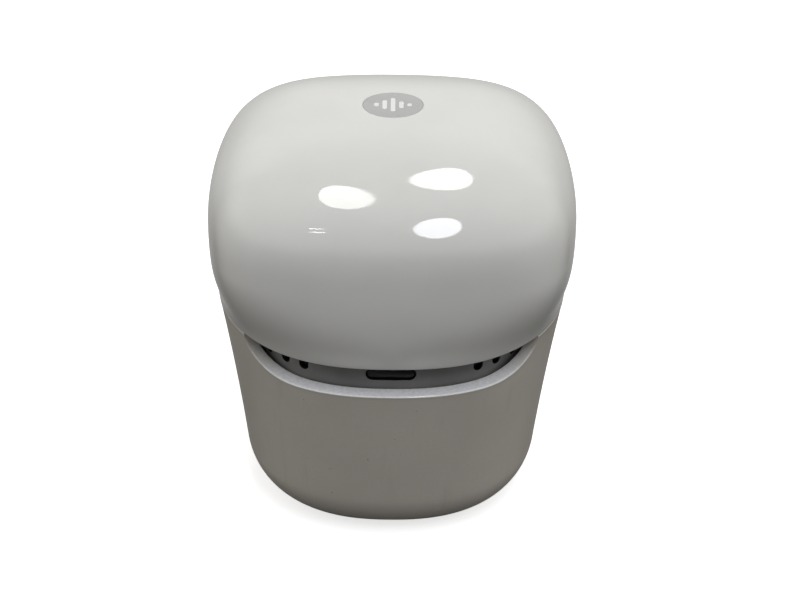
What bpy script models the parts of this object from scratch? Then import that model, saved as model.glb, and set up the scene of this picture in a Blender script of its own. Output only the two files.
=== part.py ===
"""Compact smart speaker: a glossy rounded cap over a satin tapering body.

The body's front rim is scooped down to open a crescent of sound vents. The
driver fires up at a deflector under the cap. Everything is in metres, +Z up,
with the front facing -Y and the origin on the surface that it stands on.
"""

from math import atan2, cos, pi, radians, sin, sqrt

import bmesh
import bpy
from mathutils import Matrix, Vector

MM = 0.001
GAP = 0.3 * MM
SEAT_GAP = 0.1 * MM

# Overall form. A section at any height is a rounded square, the superellipse
# |x / half_width| ** n + |y / half_width| ** n = 1.
HALF_WIDTH = 50.0 * MM
HEIGHT = 113.6 * MM
SEAM_Z = 61.7 * MM
WIDEST_Z = 86.0 * MM
BODY_FOOT_HALF_WIDTH = 41.0 * MM
BODY_SEAM_HALF_WIDTH = 45.9 * MM
FOOT_ROUNDING = 16.0 * MM
BODY_EXPONENT = 2.38
CAP_EXPONENT = 3.32
DOME_WIDTH_POWER = 2.8
DOME_HEIGHT_POWER = 3.0

# Scooped front rim, as angles from the front round the body.
SCOOP_DEPTH = 8.7 * MM
SCOOP_FLAT_ANGLE = radians(32.0)
SCOOP_END_ANGLE = radians(54.0)
LEDGE_WIDTH = 4.0 * MM
LEDGE_THICKNESS = 3.0 * MM
LEDGE_NARROWING = 1.2 * MM
SIDE_FULLNESS = 0.062

# Walls.
BODY_WALL = 2.2 * MM
CAP_WALL = 2.0 * MM
BODY_BOTTOM_Z = 0.7 * MM

# Base.
FOOT_HALF_WIDTH = 26.0 * MM
FOOT_THICKNESS = 1.2 * MM
BASE_RECESS_HALF_WIDTH = 28.3 * MM
BASE_PLATE_THICKNESS = 1.8 * MM
BASE_SEAT_DEPTH = 1.6 * MM
BASE_PLATE_Z = FOOT_THICKNESS + GAP
FLOOR_LIP_Z = BASE_PLATE_Z + BASE_PLATE_THICKNESS + GAP
FLOOR_TOP_Z = 5.2 * MM
FLOOR_OPENING_HALF_WIDTH = 20.0 * MM
BASE_BOSS_OFFSET = 17.5 * MM
BASE_BOSS_RADIUS = 3.0 * MM

# Power board and rear controls.
POWER_BOARD_Z = 16.0 * MM
BOARD_THICKNESS = 1.6 * MM
CONTROLS_Z = 19.6 * MM
PANEL_WIDTH = 30.0 * MM
PANEL_HEIGHT = 11.0 * MM
PANEL_FACE_Y = 40.4 * MM
PANEL_BACK_Y = 35.7 * MM
PANEL_FLANGE_THICKNESS = 1.4 * MM
PANEL_CORNER = 2.0 * MM
REAR_OPENING_Y = 45.0 * MM
INLET_OPENING = (9.8 * MM, 4.1 * MM)
INLET_OUTER = (8.94 * MM, 3.26 * MM)
INLET_INNER = (8.3 * MM, 2.62 * MM)
SLIDER_SLOT = (6.6 * MM, 2.6 * MM)
BUTTON_COLLAR_RADIUS = 2.9 * MM
BUTTON_X = 10.6 * MM
BUTTON_RADIUS = 2.0 * MM
SLIDER_X = -10.6 * MM
SLIDER_TRAVEL = 2.0 * MM

# Frame that holds the driver and the collar.
BAFFLE_Z = 47.0 * MM
BAFFLE_THICKNESS = 2.0 * MM
BAFFLE_HALF_WIDTH = 40.6 * MM
DRIVER_HOLE_RADIUS = 26.6 * MM
FRAME_SCREW_RADIUS = 38.6 * MM
FRAME_BOSS_BOTTOM_Z = 30.0 * MM
CABLE_HOLE_RADIUS = 2.2 * MM
SPEAKER_CABLE_PLACE = (0.0, 35.6 * MM)
POWER_CABLE_PLACE = (13.0 * MM, 33.4 * MM)

# Collar with the vents.
COLLAR_HALF_WIDTH = 40.9 * MM
COLLAR_WALL = 1.8 * MM
COLLAR_BOTTOM_Z = BAFFLE_Z + BAFFLE_THICKNESS + GAP
COLLAR_TOP_Z = 67.5 * MM
VENT_PLACES = (22.9 * MM, 27.8 * MM, 32.4 * MM)
VENT_WIDTH = 2.8 * MM
VENT_BOTTOM_Z = 55.5 * MM
VENT_TOP_Z = 63.0 * MM
WINDOW_WIDTH = 13.4 * MM
WINDOW_HEIGHT = 3.7 * MM
WINDOW_Z = 57.2 * MM

# Driver, a turned assembly about Z.
FLANGE_Z = 50.4 * MM
FLANGE_RADIUS = 33.5 * MM
DRIVER_SCREW_RADIUS = 30.6 * MM

# Cap and what it holds.
CARRIER_BOTTOM_Z = SEAM_Z + 0.6 * MM
CARRIER_PLATE_Z = COLLAR_TOP_Z + GAP
CARRIER_PLATE_THICKNESS = 2.0 * MM
CARRIER_HALF_WIDTH = 42.9 * MM
CARRIER_WALL = 1.6 * MM
MAIN_BOARD_Z = 76.0 * MM
MAIN_BOARD_SIZE = 62.0 * MM
MAIN_BOARD_POST_OFFSET = 26.0 * MM
POST_HOLE_DEPTH = 5.4 * MM
TOUCH_BOARD_Z = 106.0 * MM
TOUCH_BOARD_RADIUS = 24.0 * MM
BADGE_RADIUS = 8.2 * MM
BADGE_Y = 6.45 * MM
BADGE_TOP_Z = 113.3 * MM
BADGE_THICKNESS = 0.7 * MM

# Screws.
SCREW_HEAD_RADIUS = 2.1 * MM
SCREW_HEAD_HEIGHT = 1.4 * MM
SCREW_SHANK_RADIUS = 1.0 * MM
SCREW_HOLE_RADIUS = 1.35 * MM
# Holes are turned a little, so that none of their corners line up with a plate's own corners.
HOLE_TURN = radians(5.0)

# Colour, roughness and metallic value of each finish.
FINISHES = {
    "gloss_cap": ((0.72, 0.72, 0.70), 0.08, 0.0),
    "satin_body": ((0.27, 0.26, 0.24), 0.45, 0.0),
    "collar_grey": ((0.05, 0.05, 0.055), 0.5, 0.0),
    "badge_grey": ((0.46, 0.46, 0.455), 0.35, 0.0),
    "black_plastic": ((0.02, 0.02, 0.022), 0.55, 0.0),
    "smoked_lens": ((0.01, 0.01, 0.012), 0.08, 0.0),
    "silicone": ((0.06, 0.06, 0.065), 0.8, 0.0),
    "foam": ((0.03, 0.03, 0.03), 0.95, 0.0),
    "mesh_black": ((0.012, 0.012, 0.012), 0.9, 0.0),
    "board_green": ((0.02, 0.13, 0.06), 0.4, 0.0),
    "steel": ((0.6, 0.6, 0.6), 0.35, 1.0),
    "black_steel": ((0.05, 0.05, 0.05), 0.45, 1.0),
    "ferrite": ((0.06, 0.06, 0.065), 0.5, 0.2),
    "copper": ((0.72, 0.33, 0.14), 0.3, 1.0),
    "paper_cone": ((0.05, 0.05, 0.055), 0.85, 0.0),
    "cloth_yellow": ((0.62, 0.45, 0.16), 0.9, 0.0),
    "rubber": ((0.02, 0.02, 0.02), 0.6, 0.0),
    "polyimide": ((0.55, 0.25, 0.05), 0.35, 0.0),
    "white_lamp": ((0.85, 0.85, 0.8), 0.3, 0.0),
    "cable_black": ((0.015, 0.015, 0.015), 0.5, 0.0),
    "cable_red": ((0.4, 0.02, 0.02), 0.5, 0.0),
}


# ---------------------------------------------------------------- scene setup

def clear_scene():
    """Remove every object, so that the script starts from nothing."""
    for existing in list(bpy.data.objects):
        bpy.data.objects.remove(existing, do_unlink=True)


def new_collection(name):
    """A collection linked under the scene's own."""
    collection = bpy.data.collections.new(name)
    bpy.context.scene.collection.children.link(collection)
    return collection


clear_scene()
PARTS = new_collection("smart_speaker")
CUTTERS = new_collection("cutters")


def finish_material(part_name, finish):
    """A Principled material for one part, named after it."""
    colour, roughness, metallic = FINISHES[finish]
    material = bpy.data.materials.new(part_name)
    material.use_nodes = True
    shader = material.node_tree.nodes["Principled BSDF"]
    shader.inputs["Base Color"].default_value = (*colour, 1.0)
    shader.inputs["Roughness"].default_value = roughness
    shader.inputs["Metallic"].default_value = metallic
    material.diffuse_color = (*colour, 1.0)
    return material


def add_part(name, mesh, finish, location=(0.0, 0.0, 0.0)):
    """Put a mesh in the speaker's collection as the named part."""
    mesh.name = name
    mesh.materials.clear()
    mesh.materials.append(finish_material(name, finish))
    part = bpy.data.objects.new(name, mesh)
    part.location = location
    PARTS.objects.link(part)
    return part


def add_tool(name, mesh, location=(0.0, 0.0, 0.0), rotation=(0.0, 0.0, 0.0)):
    """Put a mesh in the cutters' collection, where it only shapes other parts."""
    tool = bpy.data.objects.new(name, mesh)
    tool.location = location
    tool.rotation_euler = rotation
    tool.hide_render = True
    tool.display_type = 'WIRE'
    CUTTERS.objects.link(tool)
    return tool


def cut(part, tool):
    """Take the tool's shape out of the part."""
    modifier = part.modifiers.new(tool.name, 'BOOLEAN')
    modifier.operation = 'DIFFERENCE'
    modifier.object = tool


def join(part, tool):
    """Fuse the tool's shape onto the part."""
    modifier = part.modifiers.new(tool.name, 'BOOLEAN')
    modifier.operation = 'UNION'
    modifier.object = tool


# ------------------------------------------------------------- mesh primitives

def mesh_from(builder):
    """A mesh filled by a function that works on a bmesh."""
    shape = bmesh.new()
    builder(shape)
    mesh = bpy.data.meshes.new("shape")
    shape.to_mesh(mesh)
    shape.free()
    return mesh


def box_mesh(width, depth, height):
    """A box centred on the origin."""
    def build(shape):
        bmesh.ops.create_cube(shape, size=1.0)
        bmesh.ops.scale(shape, vec=(width, depth, height), verts=shape.verts)
    return mesh_from(build)


def cylinder_mesh(radius, length, sides=24):
    """A cylinder along Z, centred on the origin."""
    def build(shape):
        bmesh.ops.create_cone(shape, cap_ends=True, segments=sides,
                              radius1=radius, radius2=radius, depth=length)
    mesh = mesh_from(build)
    smooth_rounds(mesh)
    return mesh


def smooth_rounds(mesh):
    """Shade the round faces smooth and keep the edges crisp."""
    mesh.shade_smooth()
    mesh.set_sharp_from_angle(angle=radians(35.0))


def block(name, finish, low, high, bevel=0.0):
    """A box part between two corners, with softened edges where asked."""
    size = [high[axis] - low[axis] for axis in range(3)]
    middle = [(high[axis] + low[axis]) / 2 for axis in range(3)]
    part = add_part(name, box_mesh(*size), finish, middle)
    if bevel:
        soften(part, bevel)
    return part


def soften(part, width, segments=1):
    """Round the part's sharp edges."""
    modifier = part.modifiers.new("soften", 'BEVEL')
    modifier.width = width
    modifier.segments = segments
    modifier.limit_method = 'ANGLE'


def turned_mesh(profile):
    """A mesh of the edges of a profile of (radius, height) points at +X."""
    mesh = bpy.data.meshes.new("profile")
    closed = min(radius for radius, _ in profile) > 0.0
    count = len(profile)
    edges = [(index, index + 1) for index in range(count - 1)]
    if closed:
        edges.append((count - 1, 0))
    mesh.from_pydata([(radius, 0.0, height) for radius, height in profile], edges, [])
    return mesh


def turned(name, finish, profile, steps=20, location=(0.0, 0.0, 0.0), rotation=(0.0, 0.0, 0.0)):
    """A part turned about Z from a profile that runs down its outer side first."""
    part = add_part(name, turned_mesh(profile), finish, location)
    part.rotation_euler = rotation
    screw = part.modifiers.new("turn", 'SCREW')
    screw.angle = 2.0 * pi
    screw.steps = steps
    screw.render_steps = steps
    screw.use_merge_vertices = True
    screw.merge_threshold = 1e-6
    screw.use_smooth_shade = True
    return part


# ------------------------------------------------------------------- outlines

def rounded_rectangle(width, height, radius, segments=4):
    """Outline of a rectangle with round corners, anticlockwise round the origin."""
    points = []
    for quarter in range(4):
        corner_x = (width / 2 - radius) * (1 if quarter in (0, 3) else -1)
        corner_y = (height / 2 - radius) * (1 if quarter in (0, 1) else -1)
        for step in range(segments + 1):
            angle = (quarter + step / segments) * pi / 2
            points.append((corner_x + radius * cos(angle), corner_y + radius * sin(angle)))
    return points


def stadium(width, height, segments=4):
    """Outline of a bar with fully round ends."""
    return rounded_rectangle(width, height, min(width, height) / 2 - 1e-6, segments)


def superellipse_outline(half_width, exponent=BODY_EXPONENT):
    """Outline of a plate that follows the body's section."""
    return [section_point(half_width, exponent, angle)[:2] for angle in RING_ANGLES]


def outline_mesh(outline, thickness):
    """A plate: a filled flat curve in XY, extruded evenly about z = 0."""
    curve = bpy.data.curves.new("outline", 'CURVE')
    curve.dimensions = '2D'
    curve.fill_mode = 'BOTH'
    curve.extrude = thickness / 2
    spline = curve.splines.new('POLY')
    spline.points.add(len(outline) - 1)
    for point, (x, y) in zip(spline.points, outline):
        point.co = (x, y, 0.0, 1.0)
    spline.use_cyclic_u = True
    carrier = bpy.data.objects.new("outline", curve)
    PARTS.objects.link(carrier)
    bpy.context.view_layer.update()
    graph = bpy.context.evaluated_depsgraph_get()
    mesh = bpy.data.meshes.new_from_object(carrier.evaluated_get(graph))
    bpy.data.objects.remove(carrier, do_unlink=True)
    shape = bmesh.new()
    shape.from_mesh(mesh)
    bmesh.ops.remove_doubles(shape, verts=shape.verts, dist=1e-6)
    bmesh.ops.recalc_face_normals(shape, faces=shape.faces)
    shape.to_mesh(mesh)
    shape.free()
    return mesh


def plate(name, finish, outline, low_z, thickness, place=(0.0, 0.0)):
    """A flat horizontal plate part."""
    return add_part(name, outline_mesh(outline, thickness), finish,
                    (place[0], place[1], low_z + thickness / 2))


# -------------------------------------------------------- the speaker's sections

def ring_angles():
    """Angles round a section from the front (-Y), closer together at the scoop's ends."""
    flat = [radians(8.0 * step) for step in range(5)]
    span = SCOOP_END_ANGLE - SCOOP_FLAT_ANGLE
    ends = [SCOOP_FLAT_ANGLE + span * sin(step * pi / 10) for step in range(1, 6)]
    back = [radians(54.0 + 9.0 * step) for step in range(1, 15)]
    right = flat + ends + back
    left = [-angle for angle in reversed(right[1:-1])]
    return right + left


RING_ANGLES = ring_angles()


def section_point(half_width, exponent, angle, height=0.0):
    """The point of a superellipse section in the direction of an angle from the front."""
    across = sin(angle)
    along = -cos(angle)
    reach = half_width / (abs(across) ** exponent + abs(along) ** exponent) ** (1 / exponent)
    return (reach * across, reach * along, height)


def ring(half_width, exponent, height):
    """A level section as a list of points."""
    return [section_point(half_width, exponent, angle, height) for angle in RING_ANGLES]


def side_fullness(angle, height):
    """The factor by which the left and right sides' middles stand further out.

    It grows with the square of the height up to the seam and is gone at the widest height.
    """
    if height <= SEAM_Z:
        share = height / SEAM_Z
    else:
        share = (WIDEST_Z - height) / (WIDEST_Z - SEAM_Z)
    return 1.0 + SIDE_FULLNESS * share ** 2 * abs(sin(angle)) ** 6


def outer_ring(half_width, exponent, height):
    """A level section of the outer surface, with its fuller sides."""
    points = []
    for angle in RING_ANGLES:
        across, along, level = section_point(half_width, exponent, angle, height)
        points.append((across * side_fullness(angle, level), along, level))
    return points


def body_half_width(height):
    """Half width of the body's outer wall: a straight taper with a rounded foot."""
    taper = (BODY_SEAM_HALF_WIDTH - BODY_FOOT_HALF_WIDTH) * height / SEAM_Z
    width = BODY_FOOT_HALF_WIDTH + taper
    if height < FOOT_ROUNDING:
        drop = FOOT_ROUNDING - height
        width -= FOOT_ROUNDING - sqrt(FOOT_ROUNDING ** 2 - drop ** 2)
    return width


def cap_exponent(height):
    """The section goes from the body's roundness at the seam to the cap's at its widest."""
    share = min(max((height - SEAM_Z) / (WIDEST_Z - SEAM_Z), 0.0), 1.0)
    share = share * share * (3.0 - 2.0 * share)
    return BODY_EXPONENT + (CAP_EXPONENT - BODY_EXPONENT) * share


def cap_skirt_half_width(height):
    """Half width of the cap between the seam and its widest height."""
    share = (WIDEST_Z - height) / (WIDEST_Z - SEAM_Z)
    return HALF_WIDTH - (HALF_WIDTH - BODY_SEAM_HALF_WIDTH) * share ** 2


def scoop_share(angle):
    """How far a direction is along the scoop's rising end: 0 where it is flat, 1 outside it."""
    share = (abs(angle) - SCOOP_FLAT_ANGLE) / (SCOOP_END_ANGLE - SCOOP_FLAT_ANGLE)
    return min(max(share, 0.0), 1.0)


def rim_height(angle):
    """Height of the body's rim: level, with a scoop whose ends are quarter ellipses."""
    return SEAM_Z - SCOOP_DEPTH * sqrt(1.0 - scoop_share(angle) ** 2)


def rim_ring(inset, drop, narrowing=0.0):
    """A ring that follows the scooped rim, inset from the outer wall and below the rim.

    The inset shrinks by the narrowing towards the scoop's ends and stays so outside it.
    Only the outer edge, at no inset, has the fuller sides.
    """
    points = []
    for angle in RING_ANGLES:
        top = rim_height(angle)
        half_width = body_half_width(top) - inset + narrowing * scoop_share(angle) ** 2
        across, along, level = section_point(half_width, BODY_EXPONENT, angle, top - drop)
        if inset == 0.0:
            across *= side_fullness(angle, level)
        points.append((across, along, level))
    return points


def loft_mesh(rings, closed_loop=False):
    """Skin a run of equal rings; the run closes on itself or is capped at both ends."""
    def build(shape):
        rows = [[shape.verts.new(point) for point in points] for points in rings]
        pairs = list(zip(rows, rows[1:]))
        if closed_loop:
            pairs.append((rows[-1], rows[0]))
        else:
            shape.faces.new(rows[0])
            shape.faces.new(rows[-1])
        for lower, upper in pairs:
            for index in range(len(lower)):
                after = (index + 1) % len(lower)
                shape.faces.new((lower[index], lower[after], upper[after], upper[index]))
        bmesh.ops.recalc_face_normals(shape, faces=shape.faces)
    mesh = mesh_from(build)
    smooth_rounds(mesh)
    return mesh


def corner_places(offset):
    """The four corners of a square, anticlockwise from +X +Y."""
    return [(offset, offset), (-offset, offset), (-offset, -offset), (offset, -offset)]


FRAME_SCREW_PLACES = corner_places(FRAME_SCREW_RADIUS / sqrt(2.0))
BASE_SCREW_PLACES = corner_places(BASE_BOSS_OFFSET)


def hole(part, name, place, low_z, high_z, radius=SCREW_HOLE_RADIUS, sides=8):
    """Cut a vertical round hole between two heights."""
    length = high_z - low_z
    tool = add_tool(name, cylinder_mesh(radius, length, sides),
                    (place[0], place[1], low_z + length / 2), (0.0, 0.0, HOLE_TURN))
    cut(part, tool)


def screw(name, place, seat_z, length, finish="steel", points_up=False):
    """A pan-head screw whose head sits on a seat and whose shank runs away from it."""
    profile = [(0.0, SCREW_HEAD_HEIGHT), (SCREW_HEAD_RADIUS * 0.75, SCREW_HEAD_HEIGHT),
               (SCREW_HEAD_RADIUS, SCREW_HEAD_HEIGHT * 0.55), (SCREW_HEAD_RADIUS, 0.0),
               (SCREW_SHANK_RADIUS, 0.0), (SCREW_SHANK_RADIUS, 0.4 * MM - length), (0.0, -length)]
    flip = (pi, 0.0, 0.0) if points_up else (0.0, 0.0, 0.0)
    return turned(name, finish, profile, 8, (place[0], place[1], seat_z), flip)


# ------------------------------------------------------------------ outer shells

def build_body_shell():
    """The satin body: one closed wall from the recessed base up to the scooped rim."""
    lower_heights = [1.8 * MM, 3.8 * MM, 7.0 * MM, 11.2 * MM, FOOT_ROUNDING]
    middle_z = 34.0 * MM
    rings = [outer_ring(body_half_width(height), BODY_EXPONENT, height)
             for height in (BODY_BOTTOM_Z, *lower_heights, middle_z)]
    rings.append(rim_ring(0.0, 0.0))
    rings.append(rim_ring(LEDGE_WIDTH, 0.0, LEDGE_NARROWING))
    rings.append(rim_ring(LEDGE_WIDTH, LEDGE_THICKNESS, LEDGE_NARROWING))
    rings.append(rim_ring(BODY_WALL, LEDGE_THICKNESS + LEDGE_WIDTH - BODY_WALL))
    for height in (middle_z, FOOT_ROUNDING, 9.5 * MM, FLOOR_TOP_Z):
        rings.append(ring(body_half_width(height) - BODY_WALL, BODY_EXPONENT, height))
    rings.append(ring(FLOOR_OPENING_HALF_WIDTH, BODY_EXPONENT, FLOOR_TOP_Z))
    rings.append(ring(FLOOR_OPENING_HALF_WIDTH, BODY_EXPONENT, FLOOR_LIP_Z))
    rings.append(ring(BASE_RECESS_HALF_WIDTH, BODY_EXPONENT, FLOOR_LIP_Z))
    rings.append(ring(BASE_RECESS_HALF_WIDTH, BODY_EXPONENT, BODY_BOTTOM_Z))
    body = add_part("body_shell", loft_mesh(rings, closed_loop=True), "satin_body")

    boss_low = FLOOR_TOP_Z - 0.8 * MM
    boss_high = POWER_BOARD_Z - GAP
    for index, place in enumerate(BASE_SCREW_PLACES):
        boss = cylinder_mesh(BASE_BOSS_RADIUS, boss_high - boss_low, 16)
        join(body, add_tool(f"base_boss_{index}", boss, (*place, (boss_low + boss_high) / 2)))
        hole(body, f"base_boss_hole_{index}", place, 0.0, boss_high + MM)

    high = BAFFLE_Z - GAP
    length = high - FRAME_BOSS_BOTTOM_Z
    middle = FRAME_BOSS_BOTTOM_Z + length / 2
    rib_outer_radius = 44.8 * MM
    for index, place in enumerate(FRAME_SCREW_PLACES):
        turn = atan2(place[1], place[0])
        rib_middle = (FRAME_SCREW_RADIUS + rib_outer_radius) / 2
        rib = box_mesh(rib_outer_radius - FRAME_SCREW_RADIUS, 4.0 * MM, length)
        rib_place = (rib_middle * cos(turn), rib_middle * sin(turn), middle)
        join(body, add_tool(f"frame_rib_{index}", rib, rib_place, (0.0, 0.0, turn)))
        boss = cylinder_mesh(3.2 * MM, length, 16)
        join(body, add_tool(f"frame_boss_{index}", boss, (*place, middle)))
        hole(body, f"frame_boss_hole_{index}", place, high - 9.0 * MM, high + MM)

    opening = outline_mesh(rounded_rectangle(PANEL_WIDTH + 2 * GAP, PANEL_HEIGHT + 2 * GAP, 2.3 * MM),
                           20.0 * MM)
    cut(body, add_tool("rear_opening", opening, (0.0, REAR_OPENING_Y, CONTROLS_Z), (pi / 2, 0.0, 0.0)))
    return body


def dome_rings(half_width, rise, turns):
    """Rings of the cap's dome, from its widest section (turn 0) towards the top."""
    rings = []
    for turn in turns:
        width = half_width * cos(turn) ** (2 / DOME_WIDTH_POWER)
        height = WIDEST_Z + rise * sin(turn) ** (2 / DOME_HEIGHT_POWER)
        rings.append(ring(width, CAP_EXPONENT, height))
    return rings


def build_cap_shell():
    """The glossy cap: a dome and a skirt with an even wall, open below."""
    outer_turns = [radians(angle) for angle in (84, 70, 56, 43, 31, 20, 11, 4, 0)]
    inner_turns = [radians(angle) for angle in (80, 56, 36, 18, 4)]
    skirt_depth = WIDEST_Z - SEAM_Z - GAP
    outer = dome_rings(HALF_WIDTH, HEIGHT - WIDEST_Z, outer_turns)
    inner = dome_rings(HALF_WIDTH - CAP_WALL, HEIGHT - WIDEST_Z - CAP_WALL, inner_turns)
    for share in (0.25, 0.5, 0.75, 1.0):
        height = WIDEST_Z - skirt_depth * share
        section = (cap_skirt_half_width(height), cap_exponent(height), height)
        outer.append(outer_ring(*section))
        if share != 0.25:
            inner.append(ring(section[0] - CAP_WALL, *section[1:]))
    cap = add_part("cap_shell", loft_mesh(outer + inner[::-1]), "gloss_cap")
    recess = cylinder_mesh(BADGE_RADIUS + GAP, 2.0 * MM, 32)
    recess_low = BADGE_TOP_Z - BADGE_THICKNESS - GAP
    cut(cap, add_tool("badge_recess", recess, (0.0, BADGE_Y, recess_low + MM)))
    badge = cylinder_mesh(BADGE_RADIUS, BADGE_THICKNESS, 32)
    add_part("top_badge", badge, "badge_grey", (0.0, BADGE_Y, BADGE_TOP_Z - BADGE_THICKNESS / 2))
    return cap


# -------------------------------------------------------------------------- base

def build_base():
    """Foot pad, base plate and the four screws between them."""
    foot = plate("foot_pad", "silicone", superellipse_outline(FOOT_HALF_WIDTH), 0.0, FOOT_THICKNESS)
    soften(foot, 0.3 * MM)
    base = plate("base_plate", "black_plastic", superellipse_outline(BASE_RECESS_HALF_WIDTH - GAP),
                 BASE_PLATE_Z, BASE_PLATE_THICKNESS)
    seat_z = BASE_PLATE_Z + BASE_SEAT_DEPTH
    for index, place in enumerate(BASE_SCREW_PLACES):
        hole(base, f"base_plate_hole_{index}", place, 0.0, FLOOR_LIP_Z + MM)
        hole(base, f"base_plate_counterbore_{index}", place, 0.0, seat_z, SCREW_HEAD_RADIUS + GAP, 12)
        screw(f"base_screw_{index + 1}", place, seat_z - SEAT_GAP, 5.0 * MM, points_up=True)


# ----------------------------------------------------------- power and controls

def build_power_board():
    """The board over the base, its screws, its capacitor and the two switches."""
    outline = rounded_rectangle(50.0 * MM, 60.0 * MM, 7.0 * MM)
    board = plate("power_board", "board_green", outline, POWER_BOARD_Z, BOARD_THICKNESS, (0.0, 3.0 * MM))
    top = POWER_BOARD_Z + BOARD_THICKNESS
    for index in (0, 2):
        place = BASE_SCREW_PLACES[index]
        hole(board, f"power_board_hole_{index}", place, POWER_BOARD_Z - MM, top + MM)
        screw(f"power_board_screw_{index // 2 + 1}", place, top + GAP, 7.0 * MM)
    low = top + GAP
    turned("bulk_capacitor", "black_plastic",
           [(0.0, 7.5 * MM), (3.7 * MM, 7.5 * MM), (4.0 * MM, 7.2 * MM), (4.0 * MM, 0.0), (0.0, 0.0)],
           20, (-12.0 * MM, -10.0 * MM, low))
    block("pairing_switch", "black_plastic", (BUTTON_X - 3.0 * MM, 28.5 * MM, low),
          (BUTTON_X + 3.0 * MM, 33.2 * MM, low + 3.6 * MM), 0.3 * MM)
    block("mute_switch", "steel", (SLIDER_X - 4.5 * MM, 28.5 * MM, low),
          (SLIDER_X + 4.5 * MM, 33.6 * MM, low + 3.6 * MM), 0.3 * MM)


def facing_back(outline, thickness):
    """A plate standing upright, facing the back (+Y), as a mesh about its middle."""
    mesh = outline_mesh(outline, thickness)
    mesh.transform(Matrix.Rotation(pi / 2, 4, 'X'))
    return mesh


def rear_plate(name, finish, outline, middle_x, low_y, high_y):
    """An upright part that fills an outline between two depths at the controls' height."""
    mesh = facing_back(outline, high_y - low_y)
    return add_part(name, mesh, finish, (middle_x, (low_y + high_y) / 2, CONTROLS_Z))


def rear_tool(name, outline, middle_x, low_y, high_y):
    """The same as a cutting or joining shape."""
    mesh = facing_back(outline, high_y - low_y)
    return add_tool(name, mesh, (middle_x, (low_y + high_y) / 2, CONTROLS_Z))


def build_rear_controls():
    """The rear panel with the power inlet, the pairing button and the mute slider."""
    face = rounded_rectangle(PANEL_WIDTH, PANEL_HEIGHT, PANEL_CORNER)
    panel = rear_plate("rear_panel", "black_plastic", face, 0.0, PANEL_BACK_Y, PANEL_FACE_Y)
    flange = rounded_rectangle(PANEL_WIDTH + 3.0 * MM, PANEL_HEIGHT + 2.0 * MM, PANEL_CORNER)
    join(panel, rear_tool("panel_flange", flange, 0.0, PANEL_BACK_Y - 0.2 * MM,
                          PANEL_BACK_Y + PANEL_FLANGE_THICKNESS))
    through = (PANEL_BACK_Y - 3.0 * MM, PANEL_FACE_Y + 3.0 * MM)
    cut(panel, rear_tool("inlet_opening", stadium(*INLET_OPENING), 0.0, *through))
    button_hole = 2 * (BUTTON_RADIUS + GAP)
    cut(panel, rear_tool("button_opening", stadium(button_hole, button_hole), BUTTON_X, *through))
    cut(panel, rear_tool("slider_slot", stadium(*SLIDER_SLOT), SLIDER_X, *through))

    inlet_low = 32.5 * MM
    inlet_high = PANEL_FACE_Y - 0.4 * MM
    shell = rear_plate("inlet_shell", "steel", stadium(*INLET_OUTER), 0.0, inlet_low, inlet_high)
    cut(shell, rear_tool("inlet_hollow", stadium(*INLET_INNER), 0.0, inlet_low + MM, inlet_high + MM))
    block("inlet_tongue", "black_plastic", (-3.3 * MM, inlet_low + 1.3 * MM, CONTROLS_Z - 0.35 * MM),
          (3.3 * MM, inlet_high - 0.8 * MM, CONTROLS_Z + 0.35 * MM))

    tip = PANEL_FACE_Y + 0.7 * MM
    root = 34.2 * MM
    collar_top = PANEL_BACK_Y - 0.6 * MM - tip
    button_profile = [(0.0, 0.0), (BUTTON_RADIUS - 0.3 * MM, 0.0), (BUTTON_RADIUS, -0.3 * MM),
                      (BUTTON_RADIUS, collar_top), (BUTTON_COLLAR_RADIUS, collar_top),
                      (BUTTON_COLLAR_RADIUS, root - tip), (0.0, root - tip)]
    turned("pairing_button", "silicone", button_profile, 20, (BUTTON_X, tip, CONTROLS_Z),
           (-pi / 2, 0.0, 0.0))

    slider_x = SLIDER_X - SLIDER_TRAVEL / 2
    knob = rear_plate("mute_slider", "black_plastic", rounded_rectangle(3.4 * MM, 2.0 * MM, 0.6 * MM, 2),
                      slider_x, PANEL_BACK_Y - 1.0 * MM, PANEL_FACE_Y + 0.5 * MM)
    shutter = rounded_rectangle(8.6 * MM, 4.4 * MM, 0.8 * MM, 2)
    join(knob, rear_tool("slider_shutter", shutter, slider_x, PANEL_BACK_Y - 1.3 * MM,
                         PANEL_BACK_Y - 0.5 * MM))


# ------------------------------------------------------------------------ driver

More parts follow.
